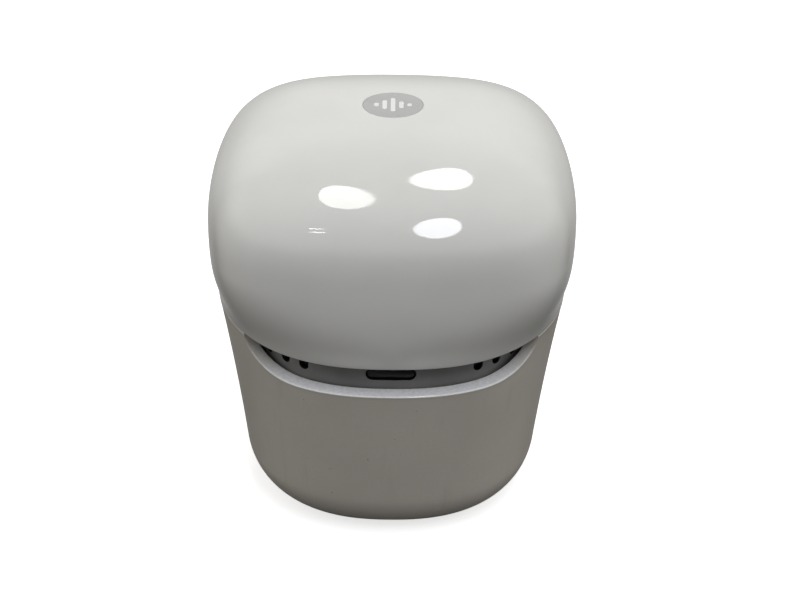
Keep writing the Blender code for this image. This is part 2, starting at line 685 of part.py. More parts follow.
def build_driver():
    """The full-range driver: basket, motor, suspension and the moving diaphragm."""
    turned("driver_basket", "black_steel",
           [(FLANGE_RADIUS, FLANGE_Z + 1.2 * MM), (FLANGE_RADIUS, FLANGE_Z), (26.2 * MM, FLANGE_Z),
            (25.4 * MM, 43.0 * MM), (19.6 * MM, 39.4 * MM), (19.6 * MM, 36.3 * MM), (10.6 * MM, 36.3 * MM),
            (10.6 * MM, 37.3 * MM), (18.6 * MM, 37.3 * MM), (18.6 * MM, 40.2 * MM), (24.5 * MM, 43.8 * MM),
            (25.2 * MM, FLANGE_Z + 1.2 * MM)], 28)
    basket = bpy.data.objects["driver_basket"]
    for index in range(4):
        turn = index * pi / 2 + pi / 4
        window = box_mesh(16.0 * MM, 14.0 * MM, 4.6 * MM)
        reach = 26.0 * MM
        cut(basket, add_tool(f"basket_window_{index}", window,
                             (reach * cos(turn), reach * sin(turn), 46.6 * MM), (0.0, 0.0, turn)))
    turned("yoke", "steel",
           [(7.0 * MM, 36.0 * MM), (7.0 * MM, 29.0 * MM), (15.0 * MM, 29.0 * MM), (15.0 * MM, 27.5 * MM),
            (14.5 * MM, 27.0 * MM), (2.5 * MM, 27.0 * MM), (2.5 * MM, 36.0 * MM)])
    turned("driver_magnet", "ferrite",
           [(16.5 * MM, 33.0 * MM), (16.5 * MM, 29.3 * MM), (9.8 * MM, 29.3 * MM), (9.8 * MM, 33.0 * MM)])
    turned("front_plate", "steel",
           [(15.5 * MM, 36.0 * MM), (15.5 * MM, 33.3 * MM), (8.9 * MM, 33.3 * MM), (8.9 * MM, 36.0 * MM)])
    turned("voice_coil_former", "polyimide",
           [(7.7 * MM, 41.4 * MM), (7.7 * MM, 32.0 * MM), (7.4 * MM, 32.0 * MM), (7.4 * MM, 41.4 * MM)])
    turned("voice_coil", "copper",
           [(8.4 * MM, 37.0 * MM), (8.4 * MM, 32.6 * MM), (8.0 * MM, 32.6 * MM), (8.0 * MM, 37.0 * MM)])
    build_cone()
    build_suspension()
    for index in range(4):
        turn = index * pi / 2
        place = (DRIVER_SCREW_RADIUS * cos(turn), DRIVER_SCREW_RADIUS * sin(turn))
        hole(basket, f"basket_hole_{index}", place, FLANGE_Z - MM, FLANGE_Z + 3.0 * MM)
        screw(f"driver_screw_{index + 1}", place, FLANGE_Z + 1.5 * MM, 6.0 * MM)


def build_cone():
    """The paper cone and the dust cap on it, both thin turned shells."""
    thickness = 0.6 * MM
    neck = (8.1 * MM, 41.3 * MM)
    edge = (21.5 * MM, FLANGE_Z + 0.6 * MM)
    steps = 3
    under = []
    for step in range(steps + 1):
        share = 1.0 - step / steps
        radius = neck[0] + (edge[0] - neck[0]) * share
        under.append((radius, neck[1] + (edge[1] - neck[1]) * share ** 0.85))
    above = [(radius, height + thickness) for radius, height in reversed(under)]
    turned("cone", "paper_cone", [above[-1]] + under + above[:-1], 24)
    dome_radius = 9.4 * MM
    dome_rise = 3.0 * MM
    foot_z = 43.4 * MM
    outer = [(dome_radius * sin(step * pi / 6), foot_z + dome_rise * cos(step * pi / 6)) for step in range(4)]
    inner = [(radius * (1.0 - 0.5 * MM / dome_radius), height - 0.5 * MM)
             for radius, height in reversed(outer[:-1])]
    floor = (dome_radius - 0.5 * MM, foot_z)
    turned("dust_cap", "paper_cone", outer + [floor] + inner)


def build_suspension():
    """The rolled surround at the cone's edge and the corrugated spider at its neck."""
    roll_low = FLANGE_Z + 1.5 * MM
    roll_inner = 21.9 * MM
    roll_outer = 26.2 * MM
    thickness = 0.5 * MM
    middle = (roll_inner + roll_outer) / 2
    radius = (roll_outer - roll_inner) / 2
    foot_width = 1.2 * MM
    arch = [(middle + radius * cos(step * pi / 4), roll_low + radius * sin(step * pi / 4))
            for step in range(5)]
    under = [(roll_outer + foot_width, roll_low)] + arch + [(roll_inner - foot_width, roll_low)]
    crown = [(middle + (radius + thickness) * cos(step * pi / 4),
              roll_low + thickness + radius * sin(step * pi / 4)) for step in range(5)]
    above = [(roll_inner - foot_width, roll_low + thickness)] + crown[::-1]
    above.append((roll_outer + foot_width, roll_low + thickness))
    turned("surround", "rubber", [above[-1]] + under + above[:-1], 24)

    spider_z = 38.7 * MM
    spider_inner = 8.0 * MM
    spider_outer = 18.3 * MM
    count = 8
    lower = []
    for step in range(count + 1):
        share = 1.0 - step / count
        wave = 0.35 * MM * sin(share * 4 * pi)
        lower.append((spider_inner + (spider_outer - spider_inner) * share, spider_z + wave))
    upper = [(point_radius, height + 0.4 * MM) for point_radius, height in reversed(lower)]
    turned("spider", "cloth_yellow", [upper[-1]] + lower + upper[:-1])


# ------------------------------------------------------------- frame and collar

def build_frame():
    """Baffle, its gasket, the vent collar and the screws that clamp them."""
    baffle = plate("driver_baffle", "black_plastic", superellipse_outline(BAFFLE_HALF_WIDTH),
                   BAFFLE_Z, BAFFLE_THICKNESS)
    low = BAFFLE_Z - MM
    high = BAFFLE_Z + BAFFLE_THICKNESS + MM
    hole(baffle, "baffle_driver_hole", (0.0, 0.0), low, high, DRIVER_HOLE_RADIUS, 28)
    hole(baffle, "baffle_speaker_cable_hole", SPEAKER_CABLE_PLACE, low, high, CABLE_HOLE_RADIUS, 12)
    hole(baffle, "baffle_power_cable_hole", POWER_CABLE_PLACE, low, high, CABLE_HOLE_RADIUS, 12)
    for index, place in enumerate(FRAME_SCREW_PLACES):
        hole(baffle, f"baffle_frame_hole_{index}", place, low, high)
    for index in range(4):
        turn = index * pi / 2
        place = (DRIVER_SCREW_RADIUS * cos(turn), DRIVER_SCREW_RADIUS * sin(turn))
        hole(baffle, f"baffle_driver_screw_hole_{index}", place, low, high)
    gasket_low = BAFFLE_Z + BAFFLE_THICKNESS + GAP
    gasket_high = FLANGE_Z - GAP
    turned("baffle_gasket", "foam",
           [(29.0 * MM, gasket_high), (29.0 * MM, gasket_low), (DRIVER_HOLE_RADIUS, gasket_low),
            (DRIVER_HOLE_RADIUS, gasket_high)], 24)
    build_vent_collar()


def build_vent_collar():
    """The grey wall in the crescent, with its vents, its window and four screw ears."""
    inner = COLLAR_HALF_WIDTH - COLLAR_WALL
    rings = [ring(COLLAR_HALF_WIDTH, BODY_EXPONENT, COLLAR_BOTTOM_Z),
             ring(COLLAR_HALF_WIDTH, BODY_EXPONENT, COLLAR_TOP_Z),
             ring(inner, BODY_EXPONENT, COLLAR_TOP_Z), ring(inner, BODY_EXPONENT, COLLAR_BOTTOM_Z)]
    collar = add_part("vent_collar", loft_mesh(rings, closed_loop=True), "collar_grey")
    ear_height = 2.0 * MM
    seat_z = COLLAR_BOTTOM_Z + ear_height
    for index, place in enumerate(FRAME_SCREW_PLACES):
        ear = cylinder_mesh(3.4 * MM, ear_height, 16)
        join(collar, add_tool(f"collar_ear_{index}", ear, (*place, COLLAR_BOTTOM_Z + ear_height / 2)))
        hole(collar, f"collar_ear_hole_{index}", place, COLLAR_BOTTOM_Z - MM, seat_z + MM)
        screw(f"frame_screw_{index + 1}", place, seat_z + GAP, 11.5 * MM)
    for side in (-1, 1):
        for index, across in enumerate(VENT_PLACES):
            tool = vent_tool(f"vent_{index}_{'left' if side < 0 else 'right'}", side * across)
            cut(collar, tool)
    cut(collar, front_tool("window_opening", stadium(WINDOW_WIDTH, WINDOW_HEIGHT), WINDOW_Z,
                           -COLLAR_HALF_WIDTH, 8.0 * MM))


def front_tool(name, outline, height, depth_y, thickness, place_x=0.0, turn=0.0):
    """An upright cutting shape that faces the front, centred on a point of the wall."""
    mesh = outline_mesh(outline, thickness)
    mesh.transform(Matrix.Rotation(pi / 2, 4, 'X'))
    return add_tool(name, mesh, (place_x, depth_y, height), (0.0, 0.0, turn))


def wall_place(half_width, across):
    """Depth of the body-shaped wall at a distance across, and the turn of its outward normal."""
    depth = -(half_width ** BODY_EXPONENT - abs(across) ** BODY_EXPONENT) ** (1 / BODY_EXPONENT)
    normal = Vector((abs(across) ** (BODY_EXPONENT - 1), -abs(depth) ** (BODY_EXPONENT - 1)))
    turn = atan2(normal.x, -normal.y)
    return depth, turn if across > 0 else -turn


def vent_tool(name, across):
    """The cutting shape of one upright vent, square to the wall where it stands."""
    depth, turn = wall_place(COLLAR_HALF_WIDTH - COLLAR_WALL / 2, across)
    outline = stadium(VENT_WIDTH, VENT_TOP_Z - VENT_BOTTOM_Z, 3)
    return front_tool(name, outline, (VENT_TOP_Z + VENT_BOTTOM_Z) / 2, depth, 4.5 * MM, across, turn)


def build_front_electronics():
    """Acoustic mesh, smoked window, and the status board with its lamp and microphones."""
    mesh_outer = 38.8 * MM
    mesh_inner = 38.2 * MM
    low = 53.6 * MM
    high = 66.0 * MM
    span = [angle for angle in RING_ANGLES if abs(angle) <= radians(63.1)]
    span.sort()
    mesh = arc_wall_mesh(span, mesh_inner, mesh_outer, low, high)
    liner = add_part("acoustic_mesh", mesh, "mesh_black")
    cut(liner, front_tool("liner_window", stadium(14.0 * MM, 4.6 * MM, 3), WINDOW_Z, -38.5 * MM, 8.0 * MM))

    lens = facing_back(stadium(WINDOW_WIDTH - 2 * GAP, WINDOW_HEIGHT - 2 * GAP), 1.1 * MM)
    add_part("status_window", lens, "smoked_lens", (0.0, -39.75 * MM, WINDOW_Z))
    board_back_y = -35.2 * MM
    board_face_y = -36.2 * MM
    seat_y = board_face_y - GAP
    block("status_board", "board_green", (-11.0 * MM, board_face_y, 53.4 * MM),
          (11.0 * MM, board_back_y, 61.0 * MM))
    block("status_light", "white_lamp", (-1.6 * MM, seat_y - 1.2 * MM, WINDOW_Z - MM),
          (1.6 * MM, seat_y, WINDOW_Z + MM), 0.2 * MM)
    for side, label in ((-1, "left"), (1, "right")):
        middle = side * 8.0 * MM
        block(f"microphone_{label}", "steel", (middle - 1.7 * MM, seat_y - 0.8 * MM, WINDOW_Z - 1.3 * MM),
              (middle + 1.7 * MM, seat_y, WINDOW_Z + 1.3 * MM), 0.2 * MM)


def arc_wall_mesh(angles, inner, outer, low, high):
    """An open run of wall that follows the body's section between two angles."""
    corners = ((outer, low), (outer, high), (inner, high), (inner, low))

    def build(shape):
        rows = []
        for angle in angles:
            rows.append([shape.verts.new(section_point(width, BODY_EXPONENT, angle, height))
                         for width, height in corners])
        for before, after in zip(rows, rows[1:]):
            for index in range(4):
                follow = (index + 1) % 4
                shape.faces.new((before[index], before[follow], after[follow], after[index]))
        shape.faces.new(rows[0])
        shape.faces.new(rows[-1])
        bmesh.ops.recalc_face_normals(shape, faces=shape.faces)
    return mesh_from(build)


# ---------------------------------------------------------------- inside the cap

def build_cap_carrier():
    """The plate that closes the cap from below, with the deflector in its middle."""
    plate_top = CARRIER_PLATE_Z + CARRIER_PLATE_THICKNESS
    flange_top = CARRIER_BOTTOM_Z + 1.5 * MM
    flange_half_width = 43.4 * MM
    inner_half_width = CARRIER_HALF_WIDTH - CARRIER_WALL
    funnel = [(1.5 * MM, 57.0 * MM), (10.0 * MM, 62.0 * MM), (24.0 * MM, CARRIER_PLATE_Z)]
    rings = [ring(width, 2.0, height) for width, height in funnel]
    rings += [ring(inner_half_width, BODY_EXPONENT, CARRIER_PLATE_Z),
              ring(inner_half_width, BODY_EXPONENT, CARRIER_BOTTOM_Z),
              ring(flange_half_width, BODY_EXPONENT, CARRIER_BOTTOM_Z),
              ring(flange_half_width, BODY_EXPONENT, flange_top),
              ring(CARRIER_HALF_WIDTH, BODY_EXPONENT, flange_top),
              ring(CARRIER_HALF_WIDTH, BODY_EXPONENT, plate_top)]
    rings += [ring(width, 2.0, height + CARRIER_PLATE_THICKNESS) for width, height in reversed(funnel)]
    carrier = add_part("cap_carrier", loft_mesh(rings), "black_plastic")
    post_high = MAIN_BOARD_Z - GAP
    post_low = plate_top - 1.0 * MM
    for index, place in enumerate(corner_places(MAIN_BOARD_POST_OFFSET)):
        post = cylinder_mesh(2.8 * MM, post_high - post_low, 16)
        join(carrier, add_tool(f"board_post_{index}", post, (*place, (post_high + post_low) / 2)))
        if index in (0, 2):
            hole(carrier, f"board_post_hole_{index}", place, post_high - POST_HOLE_DEPTH, post_high + MM)
    for name, place in (("speaker", SPEAKER_CABLE_PLACE), ("power", POWER_CABLE_PLACE)):
        hole(carrier, f"carrier_{name}_cable_hole", place, CARRIER_PLATE_Z - MM, plate_top + MM,
             CABLE_HOLE_RADIUS, 12)


def build_main_board():
    """The main board on the carrier's posts, its can, its radio module and its screws."""
    board = plate("main_board", "board_green", rounded_rectangle(MAIN_BOARD_SIZE, MAIN_BOARD_SIZE, 8.0 * MM),
                  MAIN_BOARD_Z, BOARD_THICKNESS)
    top = MAIN_BOARD_Z + BOARD_THICKNESS
    posts = corner_places(MAIN_BOARD_POST_OFFSET)
    for number, index in enumerate((0, 2), 1):
        hole(board, f"main_board_hole_{number}", posts[index], MAIN_BOARD_Z - MM, top + MM)
        screw(f"main_board_screw_{number}", posts[index], top + GAP, 6.0 * MM)
    low = top + GAP
    build_shield_can(low)
    block("wireless_module", "steel", (-8.0 * MM, 14.0 * MM, low),
          (8.0 * MM, 25.0 * MM, low + 2.4 * MM), 0.4 * MM)
    block("ribbon_socket", "white_lamp", (19.5 * MM, -5.0 * MM, low),
          (23.5 * MM, 5.0 * MM, low + 1.4 * MM), 0.2 * MM)


def build_shield_can(low):
    """A pressed steel can with an open underside over the processor."""
    def build(shape):
        bmesh.ops.create_cube(shape, size=1.0)
        bmesh.ops.scale(shape, vec=(24.0 * MM, 13.0 * MM, 2.8 * MM), verts=shape.verts)
        underside = min(shape.faces, key=lambda face: face.calc_center_median().z)
        bmesh.ops.delete(shape, geom=[underside], context='FACES_ONLY')
    can = add_part("shield_can", mesh_from(build), "steel", (0.0, -22.0 * MM, low + 1.4 * MM))
    wall = can.modifiers.new("wall", 'SOLIDIFY')
    wall.thickness = 0.4 * MM
    wall.offset = -1.0
    wall.use_even_offset = True


def build_touch_unit():
    """The bracket on the main board, the touch board on it and the pad under the badge."""
    bracket_top = TOUCH_BOARD_Z - GAP
    bracket_low = bracket_top - 1.8 * MM
    bracket = turned("touch_bracket", "black_plastic",
                     [(20.0 * MM, bracket_top), (20.0 * MM, bracket_low), (14.0 * MM, bracket_low),
                      (14.0 * MM, bracket_top)], 24)
    leg_low = MAIN_BOARD_Z + BOARD_THICKNESS + GAP
    leg_high = bracket_top - 0.9 * MM
    for index, place in enumerate(corner_places(12.2 * MM)):
        leg = cylinder_mesh(2.0 * MM, leg_high - leg_low, 10)
        join(bracket, add_tool(f"bracket_leg_{index}", leg, (*place, (leg_low + leg_high) / 2)))
    turned("touch_board", "board_green",
           [(0.0, TOUCH_BOARD_Z + 1.2 * MM), (TOUCH_BOARD_RADIUS, TOUCH_BOARD_Z + 1.2 * MM),
            (TOUCH_BOARD_RADIUS, TOUCH_BOARD_Z), (0.0, TOUCH_BOARD_Z)], 28)
    pad_low = TOUCH_BOARD_Z + 1.5 * MM
    pad_high = 110.8 * MM
    pad_radius = 7.5 * MM
    turned("touch_electrode", "foam",
           [(0.0, pad_high - pad_low), (pad_radius, pad_high - pad_low), (pad_radius, 0.0), (0.0, 0.0)],
           20, (0.0, BADGE_Y, pad_low))
    build_ribbon()


def build_ribbon():
    """A flat flexible ribbon from the main board's socket up to the touch board's edge."""
    start_z = MAIN_BOARD_Z + BOARD_THICKNESS + 2.2 * MM
    end_z = TOUCH_BOARD_Z - 0.6 * MM
    route = [Vector((20.0 * MM, start_z, 0.0)), Vector((25.0 * MM, start_z + 1.5 * MM, 0.0)),
             Vector((29.5 * MM, 88.0 * MM, 0.0)), Vector((29.0 * MM, 98.0 * MM, 0.0)),
             Vector((26.0 * MM, end_z - 1.2 * MM, 0.0)), Vector((21.5 * MM, end_z, 0.0))]
    middle = smooth_route(route, 4)
    half = 0.12 * MM
    left = []
    right = []
    for index, point in enumerate(middle):
        before = middle[max(index - 1, 0)]
        after = middle[min(index + 1, len(middle) - 1)]
        along = (after - before).normalized()
        side = Vector((-along.y, along.x, 0.0)) * half
        left.append((point.x + side.x, point.y + side.y))
        right.append((point.x - side.x, point.y - side.y))
    mesh = outline_mesh(right + left[::-1], 8.0 * MM)
    mesh.transform(Matrix.Rotation(pi / 2, 4, 'X'))
    add_part("touch_ribbon", mesh, "polyimide")


# ------------------------------------------------------------------------ cables

def smooth_route(points, steps):
    """Points of a Catmull-Rom curve through a route's own points."""
    extended = [2 * points[0] - points[1]] + points + [2 * points[-1] - points[-2]]
    smooth = []
    for index in range(1, len(extended) - 2):
        p0, p1, p2, p3 = extended[index - 1:index + 3]
        for step in range(steps):
            t = step / steps
            bend = (2 * p0 - 5 * p1 + 4 * p2 - p3) * t ** 2 + (3 * p1 - p0 - 3 * p2 + p3) * t ** 3
            smooth.append((2 * p1 + (p2 - p0) * t + bend) / 2)
    smooth.append(points[-1])
    return smooth


def cable(name, finish, route, radius):
    """A round cable along a smooth route, with closed ends."""
    points = smooth_route([Vector(point) * MM for point in route], 3)
    curve = bpy.data.curves.new(name, 'CURVE')
    curve.dimensions = '3D'
    curve.bevel_depth = radius
    curve.bevel_resolution = 2
    curve.use_fill_caps = True
    spline = curve.splines.new('POLY')
    spline.points.add(len(points) - 1)
    for target, point in zip(spline.points, points):
        target.co = (*point, 1.0)
    curve.materials.append(finish_material(name, finish))
    part = bpy.data.objects.new(name, curve)
    PARTS.objects.link(part)
    return part


def build_cables():
    """The driver's lead and the supply lead, both up to the main board."""
    cable("speaker_cable", "cable_red",
          [(0, 27.4, 43.5), (0, 30.5, 43.2), (0, 34.2, 45.0), (0, 35.6, 50), (0, 35.6, 60), (0, 35.6, 70),
           (0, 35.0, 77.0), (0, 32.6, 80.2), (0, 28.5, 80.0)], 0.9 * MM)
    cable("power_cable", "cable_black",
          [(13, 25.0, 19.2), (13, 25.6, 22.0), (13, 28.6, 26.0), (13, 32.4, 32.0), (13, 33.4, 40.0),
           (13, 33.4, 50.0), (13, 33.4, 60.0), (13, 33.4, 70.0), (13, 33.4, 76.5), (13, 31.5, 80.0),
           (13, 28.5, 80.4)], 1.1 * MM)


build_base()
build_body_shell()
build_rear_controls()
build_power_board()
build_driver()
build_frame()
build_front_electronics()
build_cap_carrier()
build_main_board()
build_touch_unit()
build_cables()
build_cap_shell()
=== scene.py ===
"""Dresses the compact smart speaker: glossy cap, satin body, vent crescent and rear controls.

Every new form is a surface of two parameters, worked out with numpy as whole arrays.
Lengths are in metres and +Z is up. The front faces -Y, and an angle round the speaker
runs from the front (0) towards +X. Texture points are in millimetres.
"""

import logging
from collections.abc import Callable, Sequence
from dataclasses import dataclass
from enum import Enum

import bmesh
import bpy
import numpy as np
from mathutils import Matrix, Vector


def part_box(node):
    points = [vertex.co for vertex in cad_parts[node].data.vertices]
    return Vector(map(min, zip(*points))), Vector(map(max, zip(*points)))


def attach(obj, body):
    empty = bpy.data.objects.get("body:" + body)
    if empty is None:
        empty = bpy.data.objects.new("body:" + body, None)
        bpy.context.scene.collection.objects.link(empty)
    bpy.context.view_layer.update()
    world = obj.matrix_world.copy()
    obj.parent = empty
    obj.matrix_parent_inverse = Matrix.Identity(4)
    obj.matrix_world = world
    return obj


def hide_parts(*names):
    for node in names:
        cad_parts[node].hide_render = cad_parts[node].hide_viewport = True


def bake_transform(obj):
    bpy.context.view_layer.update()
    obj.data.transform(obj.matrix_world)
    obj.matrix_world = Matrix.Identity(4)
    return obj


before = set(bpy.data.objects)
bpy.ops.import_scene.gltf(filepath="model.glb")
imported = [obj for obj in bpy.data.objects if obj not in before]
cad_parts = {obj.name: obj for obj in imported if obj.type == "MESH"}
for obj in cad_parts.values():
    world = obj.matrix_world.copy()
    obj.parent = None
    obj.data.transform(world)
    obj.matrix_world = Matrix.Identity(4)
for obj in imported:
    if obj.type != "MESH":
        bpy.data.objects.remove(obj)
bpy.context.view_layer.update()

MM = 0.001
GAP = 0.3 * MM
FULL_TURN = 2.0 * np.pi
# attribute for the ledge's smoother finish and its painted highlight, a lighter cooler colour that stands for
# light on it
POLISH_AND_PAINTED_LIGHT = "polish_and_painted_light"
# attribute that turns the throats of openings near black: painted shade inside them
THROAT_PAINTED_SHADE = "throat_painted_shade"
QUARTERS = ((1, 1), (-1, 1), (-1, -1), (1, -1))
LOG = logging.getLogger("smart_speaker")

Array = np.ndarray
Colour = tuple[float, float, float]
Surface = Callable[[Array, Array, float], Array]


# ------------------------------------------------------------------ the form

@dataclass(frozen=True)
class SpeakerForm:
    """The outer form: rounded-square sections whose size and squareness change with height."""

    half_width: float = 50.0 * MM
    seam: float = 61.7 * MM
    widest: float = 86.0 * MM
    foot_half_width: float = 41.0 * MM
    seam_half_width: float = 45.9 * MM
    foot_rounding: float = 16.0 * MM
    body_exponent: float = 2.38
    cap_exponent: float = 3.32
    cap_crown: float = 0.8
    dome_width_power: float = 2.8
    dome_height_power: float = 3.0
    scoop_depth: float = 8.7 * MM
    scoop_flat: float = np.radians(32.0)
    scoop_end: float = np.radians(54.0)
    ledge: float = 4.0 * MM
    ledge_narrowing: float = 1.6 * MM
    side_fullness: float = 0.062
    fullness_depth: float = 2.0 * MM

    def gauge(self, x: Array, y: Array, exponent: Array, crown: Array) -> Array:
        """The half width of the section through a plan point.

        It is (|x| ** n + |y| ** n + c * (x ** 2 * |y| ** (n - 2) + y ** 2 * |x| ** (n - 2))) ** (1 / n).
        The crown c keeps the middles of the sides curved, and n is raised with it from the given
        exponent so that the reach along the diagonal stays the same.

        Args:
            x: where the points lie across.
            y: where the points lie along the depth.
            exponent: 2 for a circle and more for a squarer section.
            crown: c, nothing for a plain superellipse.

        Returns:
            The half width at each point.
        """
        power = exponent * np.log2(2.0 + 2.0 * crown)
        across, along = np.abs(x), np.abs(y)
        mixed = across ** 2 * along ** (power - 2.0) + along ** 2 * across ** (power - 2.0)
        return (across ** power + along ** power + crown * mixed) ** (1.0 / power)

    def section(self, half_width: Array, exponent: Array, angle: Array, height: Array,
                crown: Array = 0.0) -> Array:
        """Points of a level section, each where the gauge in its angle's direction is the half width.

        Args:
            half_width: the section's reach along X and Y.
            exponent: how square the section is.
            angle: directions from the front, in radians.
            height: the level of each point.
            crown: how curved the middles of its sides are.

        Returns:
            The points, with a last axis of three.
        """
        across, along = np.sin(angle), -np.cos(angle)
        reach = half_width / self.gauge(across, along, exponent, crown)
        return np.stack(np.broadcast_arrays(reach * across, reach * along, height), axis=-1)

    def fuller(self, points: Array, angle: Array, inset: Array) -> Array:
        """Move the middles of the left and right sides out by a share f * s ** 2 * |sin a| ** 6.

        s grows from the floor to 1 at the seam and falls to nothing at the widest level. The fullness is
        that of the outer surface, and is gone at the inner one.

        Args:
            points: points of level sections.
            angle: their directions from the front, in radians.
            inset: how far inside the outer surface they are.

        Returns:
            The points after the move.
        """
        height = points[..., 2]
        share = np.minimum(height / self.seam, (self.widest - height) / (self.widest - self.seam))
        fade = np.maximum(1.0 - (inset / self.fullness_depth) ** 2, 0.0)
        out = np.clip(share, 0.0, 1.0) ** 2 * np.abs(np.sin(angle)) ** 6 * fade
        points[..., 0] *= 1.0 + self.side_fullness * out
        return points

    def body_half_width(self, height: Array) -> Array:
        """The body's reach at a height: a straight taper, less a quarter round at the foot.

        Args:
            height: heights above the floor.

        Returns:
            The half width at each height.
        """
        taper = (self.seam_half_width - self.foot_half_width) * height / self.seam
        drop = np.maximum(self.foot_rounding - height, 0.0)
        rounding = self.foot_rounding - np.sqrt(self.foot_rounding ** 2 - drop ** 2)
        return self.foot_half_width + taper - rounding

    def body_wall(self, angle: Array, height: Array, inset: float) -> Array:
        """Points of the body's wall at angles and heights, moved in by an inset."""
        points = self.section(self.body_half_width(height) - inset, self.body_exponent, angle, height)
        return self.fuller(points, angle, inset)

    def scoop_share(self, angle: Array) -> Array:
        """How far each direction is along the scoop's rising end: 0 where it is flat, 1 outside it."""
        aside = np.abs((angle + np.pi) % FULL_TURN - np.pi)
        return np.clip((aside - self.scoop_flat) / (self.scoop_end - self.scoop_flat), 0.0, 1.0)

    def rim_height(self, angle: Array) -> Array:
        """The body's rim: level, with a front scoop whose two ends are quarter ellipses."""
        return self.seam - self.scoop_depth * np.sqrt(1.0 - self.scoop_share(angle) ** 2)

    def ledge_width(self, angle: Array) -> Array:
        """The width of the rim's ledge, which narrows as the scoop's ends rise."""
        return self.ledge - self.ledge_narrowing * self.scoop_share(angle) ** 2

    def skirt(self, angle: Array, height: Array, inset: float) -> Array:
        """The cap between seam and widest level, a parabola in height with a section that squares up.

        Args:
            angle: directions from the front, in radians.
            height: heights from the seam to the widest level.
            inset: how far inside the outer surface.

        Returns:
            The points of the skirt.
        """
        share = np.clip((height - self.seam) / (self.widest - self.seam), 0.0, 1.0)
        eased = share * share * (3.0 - 2.0 * share)
        exponent = self.body_exponent + (self.cap_exponent - self.body_exponent) * eased
        width = self.half_width - (self.half_width - self.seam_half_width) * (1.0 - share) ** 2
        points = self.section(width - inset, exponent, angle, height, self.cap_crown * eased)
        return self.fuller(points, angle, inset)

    def dome_ring(self, angle: Array, share: Array, rise: float, inset: float) -> Array:
        """Rings of the dome at shares p of its rise, where (w / W) ** 2.8 + p ** 3 = 1.

        Args:
            angle: directions from the front, in radians.
            share: p, 0 at the widest level and 1 at the top.
            rise: the outer dome's height above the widest level.
            inset: how far inside the outer surface.

        Returns:
            The points of the rings.
        """
        width = (1.0 - share ** self.dome_height_power) ** (1.0 / self.dome_width_power)
        height = self.widest + (rise - inset) * share
        width = (self.half_width - inset) * width
        return self.section(width, self.cap_exponent, angle, height, self.cap_crown)

    def dome_height(self, x: Array, y: Array, rise: float) -> Array:
        """The outer dome's height over a plan point, from the same relation as dome_ring.

        Args:
            x: where the points lie across.
            y: where they lie along the depth.
            rise: the outer dome's height above the widest level.

        Returns:
            The height at each point.
        """
        reach = self.gauge(x, y, self.cap_exponent, self.cap_crown)
        share = 1.0 - (reach / self.half_width) ** self.dome_width_power
        return self.widest + rise * share ** (1.0 / self.dome_height_power)


FORM = SpeakerForm()


# --------------------------------------------------------------- mesh helpers

class Skin:
    """Grids of points that are welded into one closed mesh."""

    def __init__(self, *loops: Array) -> None:
        """Start with grids whose last columns join their first ones, or with nothing."""
        self.points: list[Array] = []
        self.quads: list[Array] = []
        self.count = 0
        for loop in loops:
            self.grid(loop, wrap=True)

    def grid(self, points: Array, wrap: bool = False, keep: Array | None = None) -> None:
        """Add a grid of quads.

        Args:
            points: rows by columns by three.
            wrap: whether the last column joins the first.
            keep: which cells to keep, or None for all.
        """
        rows, columns = points.shape[:2]
        index = np.arange(rows * columns).reshape(rows, columns) + self.count
        left = index if wrap else index[:, :-1]
        right = np.roll(index, -1, axis=1) if wrap else index[:, 1:]
        quads = np.stack([left[:-1], right[:-1], right[1:], left[1:]], axis=-1)
        self.points.append(points.reshape(-1, 3))
        self.quads.append(quads.reshape(-1, 4) if keep is None else quads[keep])
        self.count += rows * columns

    def mesh(self, name: str, weld: float = 1e-6, crease: float = 38.0) -> bpy.types.Mesh:
        """Weld the grids and turn every face outwards.

        Args:
            name: the mesh's name.
            weld: points closer than this become one.
            crease: edges that turn more than this many degrees stay crisp.

        Returns:
            The finished mesh.
        """
        mesh = bpy.data.meshes.new(name)
        mesh.from_pydata(np.concatenate(self.points), [], np.concatenate(self.quads))
        shape = bmesh.new()
        shape.from_mesh(mesh)
        bmesh.ops.remove_doubles(shape, verts=shape.verts, dist=weld)
        loose = [vertex for vertex in shape.verts if not vertex.link_faces]
        bmesh.ops.delete(shape, geom=loose, context="VERTS")
        bmesh.ops.recalc_face_normals(shape, faces=shape.faces)
        shape.to_mesh(mesh)
        shape.free()
        mesh.shade_smooth()
        mesh.set_sharp_from_angle(angle=np.radians(crease))
        return mesh


def rounded_profile(corners: Sequence[tuple[float, float, float]], steps: int = 5) -> Array:
    """A polyline whose corners are replaced by tangent arcs.

    Each corner (a, b, r) gets the arc of radius r that touches both its edges, drawn about the
    point where the two inner offsets of those edges meet.

    Args:
        corners: the corner points with their rounding radii; the two ends aren't rounded.
        steps: points along each arc, less one.

    Returns:
        The points, one row each.
    """
    spots = np.array([corner[:2] for corner in corners], float)
    rows = [spots[:1]]
    for before, spot, after, corner in zip(spots, spots[1:], spots[2:], corners[1:-1]):
        toward, away = before - spot, after - spot
        toward, away = toward / np.linalg.norm(toward), away / np.linalg.norm(away)
        half = np.arccos(np.clip(toward @ away, -1.0, 1.0)) / 2.0
        if corner[2] <= 0.0 or half > np.pi / 2 - 1e-3:
            rows.append(spot[None])
            continue
        middle = spot + (toward + away) / np.linalg.norm(toward + away) * corner[2] / np.sin(half)
        first = spot + toward * corner[2] / np.tan(half) - middle
        last = spot + away * corner[2] / np.tan(half) - middle
        sweep = np.pi - 2.0 * half
        share = np.linspace(0.0, 1.0, steps + 1)[:, None]
        arc = (np.sin((1.0 - share) * sweep) * first + np.sin(share * sweep) * last) / np.sin(sweep)
        rows.append(middle + arc)
    rows.append(spots[-1:])
    return np.concatenate(rows)


